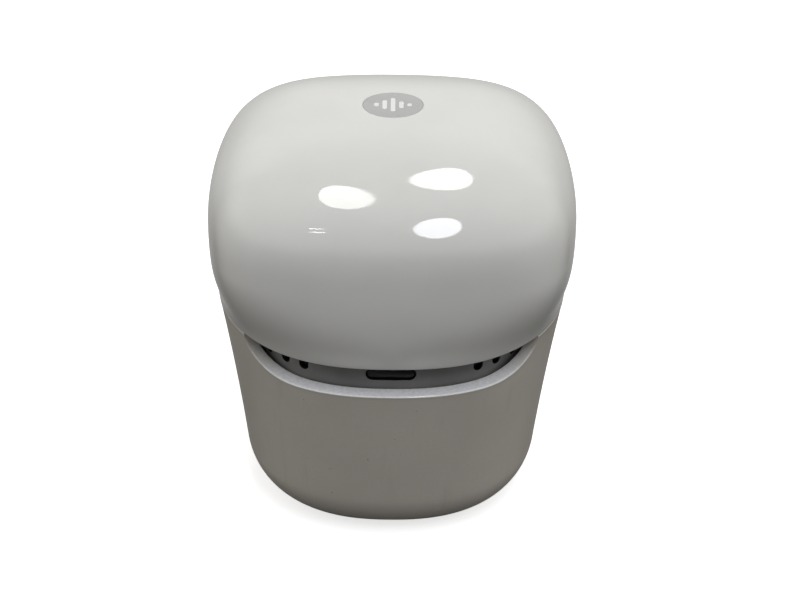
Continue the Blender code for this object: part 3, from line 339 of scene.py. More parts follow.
def turned(profile: Array, centre: Sequence[float], columns: int = 64, backwards: bool = False) -> Array:
    """A profile of (radius, height) carried round an axis through a centre.

    Args:
        profile: the points of the profile.
        centre: where the profile's zero height and radius lie.
        columns: points round each ring.
        backwards: whether the axis runs along +Y instead of +Z.

    Returns:
        Rows by columns by three.
    """
    turn = np.linspace(0.0, FULL_TURN, columns, endpoint=False)
    radius, height = profile[:, :1], profile[:, 1:]
    first, second = radius * np.cos(turn), radius * np.sin(turn)
    height = np.broadcast_to(height, first.shape)
    parts = (first, height, second) if backwards else (first, second, height)
    return np.stack(parts, axis=-1) + np.array(centre)


def loop_frame(core: tuple[float, float], arc: int = 8, side: int = 6) -> tuple[Array, Array]:
    """The anchors and outward directions of loops round a rectangular core.

    A loop at offset r is anchor + r * direction, so loops of a point, a bar or a rectangle
    are circles, stadiums or rectangles with round corners.

    Args:
        core: half sizes of the core.
        arc: steps round each corner.
        side: steps along each side that has a length.

    Returns:
        Anchors and directions, one row each, in anticlockwise order.
    """
    anchors, directions = [], []
    for quarter, sign in enumerate(QUARTERS):
        corner = np.array(core) * sign
        following = np.array(core) * QUARTERS[(quarter + 1) % 4]
        turn = (quarter + np.linspace(0.0, 1.0, arc + 1)) * np.pi / 2
        round_corner = np.stack([np.cos(turn), np.sin(turn)], axis=-1)
        anchors.append(np.repeat(corner[None], arc + 1, axis=0))
        directions.append(round_corner)
        share = np.linspace(0.0, 1.0, side + 1)[1:-1, None]
        anchors.append(corner * (1.0 - share) + following * share)
        directions.append(np.repeat(round_corner[-1:], side - 1, axis=0))
    return np.concatenate(anchors), np.concatenate(directions)


def looped(core: tuple[float, float], profile: Array, fill: bool = False) -> Array:
    """A profile of (offset, depth) carried round a core, closed at both ends over the core.

    Args:
        core: half sizes of the core.
        profile: offsets from the core and depths, from the front's middle to the back's.
        fill: whether the core has an area that needs its own rows.

    Returns:
        Rows by columns by three, as (across, up, depth).
    """
    anchors, directions = loop_frame(core)
    plan = anchors + profile[:, :1, None] * directions
    depth = np.broadcast_to(profile[:, 1:], plan.shape[:2])
    points = np.concatenate([plan, depth[..., None]], axis=-1)
    if not fill:
        return points
    inward = np.array([0.0, 0.35, 0.7])[:, None, None] * anchors
    front = np.concatenate([inward, np.full((*inward.shape[:2], 1), profile[0, 1])], axis=-1)
    back = np.concatenate([inward[::-1], np.full((*inward.shape[:2], 1), profile[-1, 1])], axis=-1)
    return np.concatenate([front, points, back])


def facing_back(points: Array, x: float, face: float, z: float) -> Array:
    """Stand (across, up, depth) points on the rear: depth runs in from a face towards -Y."""
    return np.stack([points[..., 0] + x, face - points[..., 2], points[..., 1] + z], axis=-1)


def facing_front(points: Array, x: float, face: float, z: float) -> Array:
    """Stand (across, up, depth) points on the front: depth runs in from a face towards +Y."""
    return np.stack([points[..., 0] + x, face + points[..., 2], points[..., 1] + z], axis=-1)


def loop_cells(low: int, high: int, first: int, last: int) -> tuple[Array, Array]:
    """Row and column numbers round a block of a grid, anticlockwise from its first corner.

    Args:
        low: the block's first row.
        high: its last row.
        first: its first column.
        last: its last column.

    Returns:
        The rows and the columns, in step.
    """
    rows, columns = np.arange(low, high), np.arange(first, last)
    around_rows = np.concatenate([np.full(columns.size, low), rows,
                                  np.full(columns.size, high), rows[::-1] + 1])
    around_columns = np.concatenate([columns, np.full(rows.size, last),
                                     columns[::-1] + 1, np.full(rows.size, first)])
    return around_rows, around_columns


@dataclass(frozen=True)
class Opening:
    """An opening through a wall, square to it: a rectangle, bar or circle with a rounded edge."""

    along: float
    height: float
    core: tuple[float, float]
    radius: float
    margin: tuple[float, float]
    edge: float = 0.25 * MM


@dataclass(frozen=True)
class PiercedWall:
    """Two sheets of a wall over one grid of parameters, joined through its openings."""

    surface: Surface
    along: Array
    height: Array
    thickness: float
    openings: tuple[Opening, ...]
    wrap: bool = False

    def block(self, opening: Opening) -> tuple[int, int, int, int]:
        """The rows and columns of the grid that make room for an opening.

        Args:
            opening: the opening.

        Returns:
            The first and last row, then the first and last column.
        """
        middle = np.abs(self.along[0] - opening.along).argmin()
        rows = [np.abs(self.height[:, middle] - opening.height - side * opening.margin[1]).argmin()
                for side in (-1, 1)]
        columns = [np.abs(self.along[rows[0]] - opening.along - side * opening.margin[0]).argmin()
                   for side in (-1, 1)]
        return rows[0], rows[1], columns[0], columns[1]

    def throat(self, opening: Opening, block: tuple[int, int, int, int]) -> Array:
        """The strip from the outer sheet's block, through the opening, to the inner sheet's block.

        A border point with tangent offset s and height h is led to core + direction * radius,
        where the core's nearest point and the direction to the border point are its own. The
        parameter that has a wanted s at some depth is found by Newton's method.

        Args:
            opening: the opening.
            block: its rows and columns.

        Returns:
            Rows by columns by three, where the last column joins the first.
        """
        rows, columns = loop_cells(*block)
        along, height = self.along[rows, columns], self.height[rows, columns]
        half = self.thickness / 2.0
        nudge = 1e-4 * max(abs(opening.margin[0]), MM)
        level = np.array([opening.height])
        ends = [self.surface(np.array([opening.along + side * nudge]), level, half)[0] for side in (-1, 1)]
        centre, tangent = (ends[0] + ends[1]) / 2.0, (ends[1] - ends[0]) * (1, 1, 0)
        tangent = tangent / np.linalg.norm(tangent)

        def offset(parameter: Array, at: Array, depth: float) -> Array:
            """How far along the wall's tangent each point lies from the middle."""
            return (self.surface(parameter, at, depth) - centre) @ tangent

        border = np.stack([offset(along, height, 0.0), height - opening.height], axis=-1)
        core = np.clip(border, -np.array(opening.core), opening.core)
        direction = border - core
        direction = direction / np.linalg.norm(direction, axis=-1, keepdims=True)

        def outline(grow: float, depth: float) -> tuple[Array, Array]:
            """Parameters of the opening's outline, grown outwards, at a depth.

            Args:
                grow: how much wider the outline is on each side.
                depth: how far inside the outer sheet.

            Returns:
                The wall's own parameter and the height of each point.
            """
            spot = core + direction * (opening.radius + grow)
            at = spot[:, 1] + opening.height
            found = along.copy()
            for _ in range(8):
                slope = (offset(found + nudge, at, depth) - offset(found - nudge, at, depth)) / (2 * nudge)
                found = found + (spot[:, 0] - offset(found, at, depth)) / slope
            return found, at

        turn = np.linspace(0.0, np.pi / 2, 6)
        edge = opening.edge
        grows = np.concatenate([edge * (1 - np.sin(turn)), edge * (1 - np.sin(turn[::-1]))])
        depths = np.concatenate([edge * (1 - np.cos(turn)),
                                 self.thickness - edge * (1 - np.cos(turn[::-1]))])
        lips = [self.surface(*outline(grow, depth), depth) for grow, depth in zip(grows, depths)]
        shares = (0.0, 0.3, 0.55, 0.75, 0.9, 0.97)
        sheets = []
        for depth in (0.0, self.thickness):
            found, at = outline(edge, depth)
            aside, up = found - along, at - height
            sheets.append([self.surface(along + aside * share, height + up * share, depth)
                           for share in shares])
        return np.stack(sheets[0] + lips + sheets[1][::-1])

    def add_to(self, skin: Skin) -> None:
        """Add both sheets and every opening's throat to a skin.

        Args:
            skin: the skin to add to.
        """
        keep = np.ones((self.along.shape[0] - 1, self.along.shape[1] - (not self.wrap)), bool)
        for opening in self.openings:
            block = self.block(opening)
            keep[block[0]:block[1], block[2]:block[3]] = False
            skin.grid(self.throat(opening, block), wrap=True)
        for depth in (0.0, self.thickness):
            skin.grid(self.surface(self.along, self.height, depth), self.wrap, keep)


def places(mesh: bpy.types.Mesh) -> Array:
    """The x, y and z of a mesh's points, one row each.

    Args:
        mesh: the mesh.

    Returns:
        Three rows of numbers.
    """
    points = np.empty(len(mesh.vertices) * 3, np.float32)
    mesh.vertices.foreach_get("co", points)
    return points.reshape(-1, 3).T.astype(float)


def mark(mesh: bpy.types.Mesh, name: str, values: Array) -> None:
    """Write a number on each point of a mesh, for its finish to read."""
    attribute = mesh.attributes.new(name, "FLOAT", "POINT")
    attribute.data.foreach_set("value", values.astype(np.float32))


def link_up(name: str, data: bpy.types.ID) -> bpy.types.Object:
    """A new object of a mesh, lamp or camera, linked into the scene.

    Args:
        name: the object's name.
        data: what it shows.

    Returns:
        The object.
    """
    made = bpy.data.objects.new(name, data)
    bpy.context.scene.collection.objects.link(made)
    return made


def put(name: str, shape: Skin | bpy.types.Mesh, finish: "Finish", body: str = "root",
        stands_for: Sequence[str] = ()) -> bpy.types.Object:
    """Make a piece of a skin or mesh: link it, give it its finish and let it ride on its body.

    Args:
        name: the piece's name.
        shape: its skin, or its mesh where that is marked already.
        finish: its finish.
        body: the body it moves with.
        stands_for: the nodes it replaces.

    Returns:
        The piece.
    """
    mesh = shape.mesh(name) if isinstance(shape, Skin) else shape
    piece = link_up(name, mesh)
    mesh.materials.append(finish.material())
    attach(piece, body)
    if stands_for:
        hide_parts(*stands_for)
    LOG.info("made %s: %d points, on %s", name, len(mesh.vertices), body)
    return piece


def dress(nodes: Sequence[str], finish: "Finish") -> None:
    """Give carried-over nodes their finish.

    Args:
        nodes: the nodes' names.
        finish: their finish.
    """
    for name in nodes:
        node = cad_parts[name]
        node.data.materials.clear()
        node.data.materials.append(finish.material())
    LOG.info("dressed %s in %s", ", ".join(nodes), finish.name)


# ------------------------------------------------------------- pattern groups

class Bench:
    """A node tree with short calls that add and join nodes."""

    def __init__(self, tree: bpy.types.NodeTree) -> None:
        """Work on a tree."""
        self.tree = tree

    def add(self, kind: str, inputs: dict | None = None, **settings: object) -> bpy.types.Node:
        """Add a node.

        Args:
            kind: the node's type, without its ShaderNode prefix.
            inputs: values or sockets for its inputs, by name or number.
            settings: its own properties.

        Returns:
            The node.
        """
        node = self.tree.nodes.new("ShaderNode" + kind)
        for label, value in settings.items():
            setattr(node, label, value)
        for label, value in (inputs or {}).items():
            self.feed(node.inputs[label], value)
        return node

    def feed(self, socket: bpy.types.NodeSocket, value: object) -> None:
        """Join a socket to an input, or set the input's own value.

        Args:
            socket: the input.
            value: a socket to join, or a plain value.
        """
        if isinstance(value, bpy.types.NodeSocket):
            self.tree.links.new(value, socket)
        else:
            socket.default_value = value

    def math(self, operation: str, first: object, second: object = 0.0) -> bpy.types.NodeSocket:
        """The result of a Math node."""
        return self.add("Math", {0: first, 1: second}, operation=operation).outputs[0]

    def times(self, first: object, second: object) -> bpy.types.NodeSocket:
        """The product of two values."""
        return self.math("MULTIPLY", first, second)

    def tint(self, base: object, mask: object, share: float, colour: object) -> bpy.types.NodeSocket:
        """A colour that goes a share of the way to another one where the mask is 1."""
        return self.blend(self.times(mask, share), base, colour)

    def span(self, value: object, low: float, high: float, to_low: object = 0.0,
             to_high: object = 1.0) -> bpy.types.NodeSocket:
        """A value taken smoothly from one range to another."""
        inputs = {"Value": value, "From Min": low, "From Max": high, "To Min": to_low, "To Max": to_high}
        return self.add("MapRange", inputs, interpolation_type="SMOOTHSTEP").outputs[0]

    def noise(self, point: object, scale: object, detail: float = 4.0) -> bpy.types.NodeSocket:
        """The value of a Noise Texture."""
        return self.add("TexNoise", {"Vector": point, "Scale": scale, "Detail": detail}).outputs[0]

    def blend(self, share: object, first: object, second: object) -> bpy.types.NodeSocket:
        """A mix of two colours."""
        return self.add("Mix", {0: share, 6: first, 7: second}, data_type="RGBA").outputs[2]

    def stretch(self, point: object, by: tuple[float, float, float]) -> bpy.types.NodeSocket:
        """A point scaled by its own factor along each axis."""
        return self.add("VectorMath", {0: point, 1: by}, operation="MULTIPLY").outputs[0]


class PatternGroup:
    """A shader node group with named inputs and outputs, built once."""

    made: dict[str, bpy.types.NodeTree] = {}

    def __init__(self, name: str, inputs: dict[str, float], outputs: Sequence[str]) -> None:
        """Make the group with a Point input, number inputs and number outputs.

        Args:
            name: the group's name.
            inputs: its number inputs with their usual values.
            outputs: the names of what it gives.
        """
        self.tree = bpy.data.node_groups.new(name, "ShaderNodeTree")
        self.tree.interface.new_socket("Point", in_out="INPUT", socket_type="NodeSocketVector")
        for label, value in inputs.items():
            socket = self.tree.interface.new_socket(label, in_out="INPUT", socket_type="NodeSocketFloat")
            socket.default_value = value
        for label in outputs:
            self.tree.interface.new_socket(label, in_out="OUTPUT", socket_type="NodeSocketFloat")
        self.bench = Bench(self.tree)
        self.given = self.tree.nodes.new("NodeGroupInput").outputs
        self.result = self.tree.nodes.new("NodeGroupOutput").inputs
        PatternGroup.made[name] = self.tree

    def give(self, label: str, value: bpy.types.NodeSocket) -> None:
        """Join a result to one of the group's outputs."""
        self.tree.links.new(value, self.result[label])


def make_pattern_groups() -> None:
    """Build every shared pattern: grain, specks, streaks, weave, traces, winding and worn edges."""
    grain = PatternGroup("grain", {"Scale": 3.0, "Broad": 0.06}, ("Height", "Shade"))
    bench, given = grain.bench, grain.given
    fine = bench.noise(given["Point"], given["Scale"], 6.0)
    pits = bench.add("TexVoronoi", {"Vector": given["Point"], "Scale": given["Scale"]}).outputs["Distance"]
    grain.give("Height", bench.math("ADD", fine, bench.times(pits, 0.5)))
    grain.give("Shade", bench.noise(given["Point"], given["Broad"], 3.0))

    specks = PatternGroup("specks", {"Scale": 0.4, "Size": 0.1, "Share": 0.2}, ("Mask",))
    bench, given = specks.bench, specks.given
    cells = bench.add("TexVoronoi", {"Vector": given["Point"], "Scale": given["Scale"]}).outputs
    pick = bench.add("SeparateColor", {0: cells["Color"]}).outputs
    near = bench.math("LESS_THAN", cells["Distance"], bench.times(given["Size"], pick[1]))
    chosen = bench.math("LESS_THAN", pick[0], given["Share"])
    specks.give("Mask", bench.times(near, chosen))

    streaks = PatternGroup("streaks", {"Scale": 0.5, "Low": 0.55, "High": 0.75}, ("Mask",))
    bench, given = streaks.bench, streaks.given
    broken = bench.noise(given["Point"], 0.05, 2.0)
    lines = bench.noise(bench.stretch(given["Point"], (1.0, 1.0, 0.06)), given["Scale"], 5.0)
    mask = bench.add("MapRange", {"Value": lines, "From Min": given["Low"], "From Max": given["High"]})
    streaks.give("Mask", bench.times(mask.outputs[0], bench.span(broken, 0.45, 0.7)))

    weave = PatternGroup("weave", {"Pitch": 0.5}, ("Height", "Hole"))
    bench, given = weave.bench, weave.given
    parts = bench.add("SeparateXYZ", {0: given["Point"]}).outputs
    rate = bench.math("DIVIDE", FULL_TURN, given["Pitch"])
    waves = [bench.math("SINE", bench.times(parts[axis], rate)) for axis in (0, 2)]
    crossed = bench.times(waves[0], waves[1])
    weave.give("Height", bench.math("ABSOLUTE", crossed))
    weave.give("Hole", bench.span(crossed, 0.5, 0.9))

    traces = PatternGroup("traces", {"Scale": 0.35}, ("Copper", "Pad"))
    bench, given = traces.bench, traces.given
    settings = {"distance": "CHEBYCHEV", "feature": "F1"}
    cells = bench.add("TexVoronoi", {"Vector": given["Point"], "Scale": given["Scale"]}, **settings).outputs
    steps = bench.math("FRACT", bench.times(cells["Distance"], 6.0))
    off_line = bench.math("ABSOLUTE", bench.math("SUBTRACT", steps, 0.5))
    traces.give("Copper", bench.span(off_line, 0.12, 0.2, 1.0, 0.0))
    traces.give("Pad", bench.math("LESS_THAN", cells["Distance"], 0.09))

    winding = PatternGroup("winding", {"Pitch": 0.25}, ("Height",))
    bench, given = winding.bench, winding.given
    height = bench.add("SeparateXYZ", {0: given["Point"]}).outputs[2]
    turns = bench.times(height, bench.math("DIVIDE", FULL_TURN, given["Pitch"]))
    winding.give("Height", bench.math("ABSOLUTE", bench.math("SINE", turns)))

    worn = PatternGroup("worn_edges", {"Scale": 0.8, "Reach": 0.06}, ("Mask",))
    bench, given = worn.bench, worn.given
    point = bench.add("NewGeometry").outputs["Pointiness"]
    raised = bench.math("DIVIDE", bench.math("SUBTRACT", point, 0.5), given["Reach"])
    patchy = bench.span(bench.noise(given["Point"], given["Scale"]), 0.4, 0.65)
    clamped = bench.add("Clamp", {0: raised}).outputs[0]
    worn.give("Mask", bench.times(clamped, patchy))


# ------------------------------------------------------------------- finishes

def start_material(label: str) -> tuple[bpy.types.Material, Bench, bpy.types.Node, bpy.types.NodeSocket]:
    """Make a material to work on.

    Args:
        label: its name.

    Returns:
        The material, its bench, its Principled shader and the surface's place in millimetres.
    """
    material = bpy.data.materials.new(label)
    material.use_nodes = True
    bench = Bench(material.node_tree)
    point = bench.stretch(bench.add("TexCoord").outputs["Object"], (1 / MM, 1 / MM, 1 / MM))
    return material, bench, material.node_tree.nodes["Principled BSDF"], point


class Texture(Enum):
    """What a plain finish is made of, which picks its pattern."""

    MOULDED = "moulded plastic"
    RUBBER = "rubber"
    BRUSHED = "drawn or plated metal"
    BOARD = "printed board"
    WOVEN = "woven cloth"
    WOUND = "wound wire"
    PULP = "paper, foam or fired powder"


@dataclass(frozen=True)
class Finish:
    """A plain finish: a colour, how rough and metallic it is, and the texture it shows."""

    name: str
    colour: Colour
    roughness: float
    texture: Texture = Texture.MOULDED
    metallic: float = 0.0
    scale: float = 3.0
    relief: float = 0.15
    unevenness: float = 0.25

    def material(self) -> bpy.types.Material:
        """The finish's material, made once.

        Returns:
            The material.
        """
        label = f"{self.name}_finish"
        known = bpy.data.materials.get(label)
        if known is not None:
            return known
        material, bench, shader, point = start_material(label)
        shader.inputs["Metallic"].default_value = self.metallic
        self.pattern(bench, shader, point)
        material.diffuse_color = (*self.colour, 1.0)
        return material

    def ground(self, bench: Bench, point: object, broad: float = 0.06) -> tuple[object, object]:
        """Start a pattern with its grain and the slow change of its colour.

        Args:
            bench: the material's bench.
            point: the surface's place in millimetres.
            broad: how many of the slow changes there are to a millimetre.

        Returns:
            The grain's outputs and the colour.
        """
        grain = self.group(bench, "grain", point, Scale=self.scale, Broad=broad).outputs
        share = bench.span(grain["Shade"], 0.3, 0.7)
        return grain, bench.blend(share, self.shade(1.0 - self.unevenness), self.shade(1.0 + self.unevenness))

    def shade(self, by: float) -> tuple[float, float, float, float]:
        """The colour made lighter or darker."""
        return (*(min(part * by, 1.0) for part in self.colour), 1.0)

    def group(self, bench: Bench, name: str, point: object, **values: float) -> bpy.types.Node:
        """Place a pattern group with its own values.

        Args:
            bench: the material's bench.
            name: the group's name.
            point: the surface's place in millimetres.
            values: the inputs to set, by name.

        Returns:
            The group's node.
        """
        node = bench.add("Group", node_tree=PatternGroup.made[name])
        bench.feed(node.inputs["Point"], point)
        for label, value in values.items():
            node.inputs[label].default_value = value
        return node

    def relieve(self, bench: Bench, shader: bpy.types.Node, height: object, strength: float,
                depth: float = 0.05 * MM) -> None:
        """Feed a height through a Bump node into the shader's normal."""
        bump = bench.add("Bump", {"Strength": strength, "Distance": depth, "Height": height})
        bench.feed(shader.inputs["Normal"], bump.outputs[0])

    def pattern(self, bench: Bench, shader: bpy.types.Node, point: object) -> None:
        """Colour, roughness and relief of the texture, all from object coordinates.

        Args:
            bench: the material's bench.
            shader: its Principled shader.
            point: the surface's place in millimetres.
        """
        grain, base = self.ground(bench, point)
        height = grain["Height"]
        if self.texture is Texture.BOARD:
            traces = self.group(bench, "traces", point).outputs
            base = bench.tint(base, traces["Copper"], 0.6, self.shade(2.2))
            base = bench.blend(traces["Pad"], base, (0.55, 0.42, 0.18, 1.0))
            height = traces["Copper"]
        elif self.texture is Texture.WOVEN:
            cloth = self.group(bench, "weave", point, Pitch=1.5 / self.scale).outputs
            base = bench.blend(cloth["Hole"], base, self.shade(0.25))
            height = cloth["Height"]
        elif self.texture is Texture.WOUND:
            height = self.group(bench, "winding", point).outputs["Height"]
            # the copper goes darker between the turns, where the height is low: painted shade in the grooves
            base = bench.blend(height, self.shade(0.45), base)
        elif self.texture is Texture.BRUSHED:
            lines = self.group(bench, "streaks", point, Scale=self.scale).outputs["Mask"]
            height = bench.math("ADD", bench.times(height, 0.4), lines)
            base = bench.tint(base, lines, 0.4, self.shade(1.4))
        dust = self.group(bench, "specks", point, Scale=0.9, Size=0.14, Share=0.12).outputs["Mask"]
        if self.texture in (Texture.MOULDED, Texture.RUBBER):
            base = bench.tint(base, dust, 0.5, (0.35, 0.34, 0.32, 1.0))
            worn = self.group(bench, "worn_edges", point).outputs["Mask"]
            base = bench.tint(base, worn, 0.5, self.shade(1.9))
        # where a mesh's throat attribute is 1 the colour goes near black: painted shade inside openings
        throat_shade = bench.add("Attribute", attribute_name=THROAT_PAINTED_SHADE).outputs["Fac"]
        base = bench.blend(throat_shade, base, self.shade(0.03))
        bench.feed(shader.inputs["Base Color"], base)
        low, high = self.roughness * 0.85, min(self.roughness * 1.2, 1.0)
        bench.feed(shader.inputs["Roughness"], bench.span(grain["Shade"], 0.3, 0.7, low, high))
        self.relieve(bench, shader, height, self.relief)


@dataclass(frozen=True)
class GlossFinish(Finish):
    """Polished light shell: near even colour, faint wiping marks in the gloss, a little dust."""

    def pattern(self, bench: Bench, shader: bpy.types.Node, point: object) -> None:
        """Wiping marks roughen the gloss, and dust and a few hairlines lie on it.

        Args:
            bench: the material's bench.
            shader: its Principled shader.
            point: the surface's place in millimetres.
        """
        grain, base = self.ground(bench, point, 0.05)
        dust = self.group(bench, "specks", point, Scale=0.11, Size=0.045, Share=0.3).outputs["Mask"]
        base = bench.tint(base, dust, 0.6, self.shade(0.35))
        hairs = self.group(bench, "streaks", bench.stretch(point, (1.0, 0.4, 1.6)),
                           Scale=2.4, Low=0.66, High=0.7).outputs["Mask"]
        base = bench.tint(base, hairs, 0.12, self.shade(1.3))
        bench.feed(shader.inputs["Base Color"], base)
        wiped = bench.noise(bench.stretch(point, (0.5, 1.0, 1.0)), 0.16, 5.0)
        rough = bench.span(wiped, 0.35, 0.7, self.roughness, self.roughness * 2.0)
        rough = bench.math("ADD", rough, bench.times(hairs, 0.12))
        bench.feed(shader.inputs["Roughness"], rough)
        self.relieve(bench, shader, grain["Height"], self.relief, 0.01 * MM)


@dataclass(frozen=True)
class SatinFinish(Finish):
    """Fine spark-textured shell with upright scuffs, tiny dark specks and edges rubbed lighter.

    Where the mesh's polish attribute is 1, as on the ledge, it is smooth, and its colour goes to a cooler,
    lighter painted highlight that stands for light falling on the ledge.
    """

    # the ledge's painted highlight: lighter and cooler than the body, standing for light falling on it
    ledge_polish_and_light: Colour = (0.84, 0.85, 0.88)

    def pattern(self, bench: Bench, shader: bpy.types.Node, point: object) -> None:
        """Fine grain for the relief, scuffs and specks for the colour, rubbed edges for both.

        Args:
            bench: the material's bench.
            shader: its Principled shader.
            point: the surface's place in millimetres.
        """
        grain, base = self.ground(bench, point, 0.04)
        fine = bench.noise(point, 1.6, 3.0)
        base = bench.blend(bench.span(fine, 0.3, 0.7, 0.0, 0.35), base, self.shade(0.9))
        scuffs = self.group(bench, "streaks", point, Scale=0.45, Low=0.55, High=0.8).outputs["Mask"]
        base = bench.tint(base, scuffs, 0.4, self.shade(0.72))
        specks = self.group(bench, "specks", point, Scale=0.3, Size=0.07, Share=0.35).outputs["Mask"]
        base = bench.tint(base, specks, 0.75, self.shade(0.3))
        worn = self.group(bench, "worn_edges", point, Reach=0.08).outputs["Mask"]
        base = bench.tint(base, worn, 0.3, self.shade(1.25))
        # the polish attribute makes the ledge smoother and paints a lighter, cooler highlight on it; its fade
        # at the scoop's ends paints shade there
        ledge_polish_and_light = bench.add("Attribute", attribute_name=POLISH_AND_PAINTED_LIGHT).outputs["Fac"]
        scratched = bench.span(bench.noise(bench.stretch(point, (1.0, 1.0, 3.0)), 1.1), 0.35, 0.6, 0.8, 1.0)
        base = bench.blend(bench.times(ledge_polish_and_light, scratched), base, (*self.ledge_polish_and_light, 1.0))
        bench.feed(shader.inputs["Base Color"], base)
        rough = bench.span(grain["Shade"], 0.3, 0.7, self.roughness * 0.9, self.roughness * 1.15)
        rough = bench.math("SUBTRACT", rough, bench.times(scuffs, 0.08))
        rough = bench.math("SUBTRACT", rough, bench.times(ledge_polish_and_light, 0.2))
        bench.feed(shader.inputs["Roughness"], rough)
        grained = bench.math("SUBTRACT", 1.0, bench.times(ledge_polish_and_light, 0.9))
        self.relieve(bench, shader, bench.times(grain["Height"], grained), self.relief, 0.03 * MM)


CAP_GLOSS = GlossFinish("cap_gloss", (0.70, 0.70, 0.68), 0.03, scale=1.2, relief=0.02, unevenness=0.02)
BODY_SATIN = SatinFinish("body_satin", (0.478, 0.451, 0.408), 0.36, scale=5.0, relief=0.12, unevenness=0.03)
BADGE_PRINT = GlossFinish("badge_print", (0.42, 0.42, 0.415), 0.16, scale=2.0, relief=0.03, unevenness=0.03)
BADGE_BARS = GlossFinish("badge_bars", (0.80, 0.80, 0.77), 0.16, scale=2.0, relief=0.03, unevenness=0.02)
# the collar's grey is darkened to stand for the shade under the cap's overhang: painted shade
COLLAR_GREY_PAINTED_SHADE = Finish("collar_grey", (0.15, 0.148, 0.146), 0.42, scale=4.0, unevenness=0.12)
BLACK_PLASTIC = Finish("black_plastic", (0.022, 0.022, 0.024), 0.5, scale=4.0)
SMOKED_LENS = GlossFinish("smoked_lens", (0.004, 0.004, 0.005), 0.3, scale=2.0, relief=0.02)
SILICONE = Finish("silicone", (0.055, 0.055, 0.06), 0.78, Texture.RUBBER, scale=6.0, relief=0.3)
SURROUND_RUBBER = Finish("surround_rubber", (0.02, 0.02, 0.021), 0.6, Texture.RUBBER, scale=5.0)
FOAM = Finish("foam", (0.035, 0.035, 0.036), 0.95, Texture.PULP, scale=8.0, relief=0.9)
PAPER_CONE = Finish("paper_cone", (0.05, 0.05, 0.054), 0.85, Texture.PULP, scale=4.0, relief=0.6)
MAGNET = Finish("magnet", (0.07, 0.07, 0.075), 0.5, Texture.PULP, 0.2, scale=5.0, relief=0.4)
ACOUSTIC_CLOTH = Finish("acoustic_cloth", (0.012, 0.012, 0.013), 0.9, Texture.WOVEN, scale=3.0, relief=0.8)
SPIDER_CLOTH = Finish("spider_cloth", (0.60, 0.43, 0.16), 0.85, Texture.WOVEN, scale=2.0, relief=0.7)
CIRCUIT_BOARD = Finish("circuit_board", (0.012, 0.10, 0.045), 0.35, Texture.BOARD, relief=0.4)
STEEL = Finish("steel", (0.60, 0.60, 0.59), 0.32, Texture.BRUSHED, 1.0, scale=1.5, unevenness=0.08)
BLACK_STEEL = Finish("black_steel", (0.05, 0.05, 0.05), 0.42, Texture.BRUSHED, 1.0, scale=1.2)
GOLD = Finish("gold_contacts", (0.75, 0.55, 0.22), 0.28, Texture.BRUSHED, 1.0, scale=2.0, unevenness=0.08)
COPPER_WIRE = Finish("copper_wire", (0.72, 0.33, 0.14), 0.3, Texture.WOUND, 1.0, relief=0.8)
POLYIMIDE = Finish("polyimide", (0.50, 0.22, 0.04), 0.32, scale=2.0, unevenness=0.15)
WHITE_PLASTIC = Finish("white_plastic", (0.78, 0.78, 0.74), 0.4, scale=4.0, unevenness=0.05)
CABLE_BLACK = Finish("cable_black", (0.016, 0.016, 0.017), 0.48, Texture.RUBBER, scale=3.0)
CABLE_RED = Finish("cable_red", (0.38, 0.02, 0.018), 0.45, Texture.RUBBER, scale=3.0)
MUTE_ORANGE = Finish("mute_orange", (0.75, 0.20, 0.03), 0.45, scale=4.0, unevenness=0.08)


# --------------------------------------------------------------- sub-assemblies

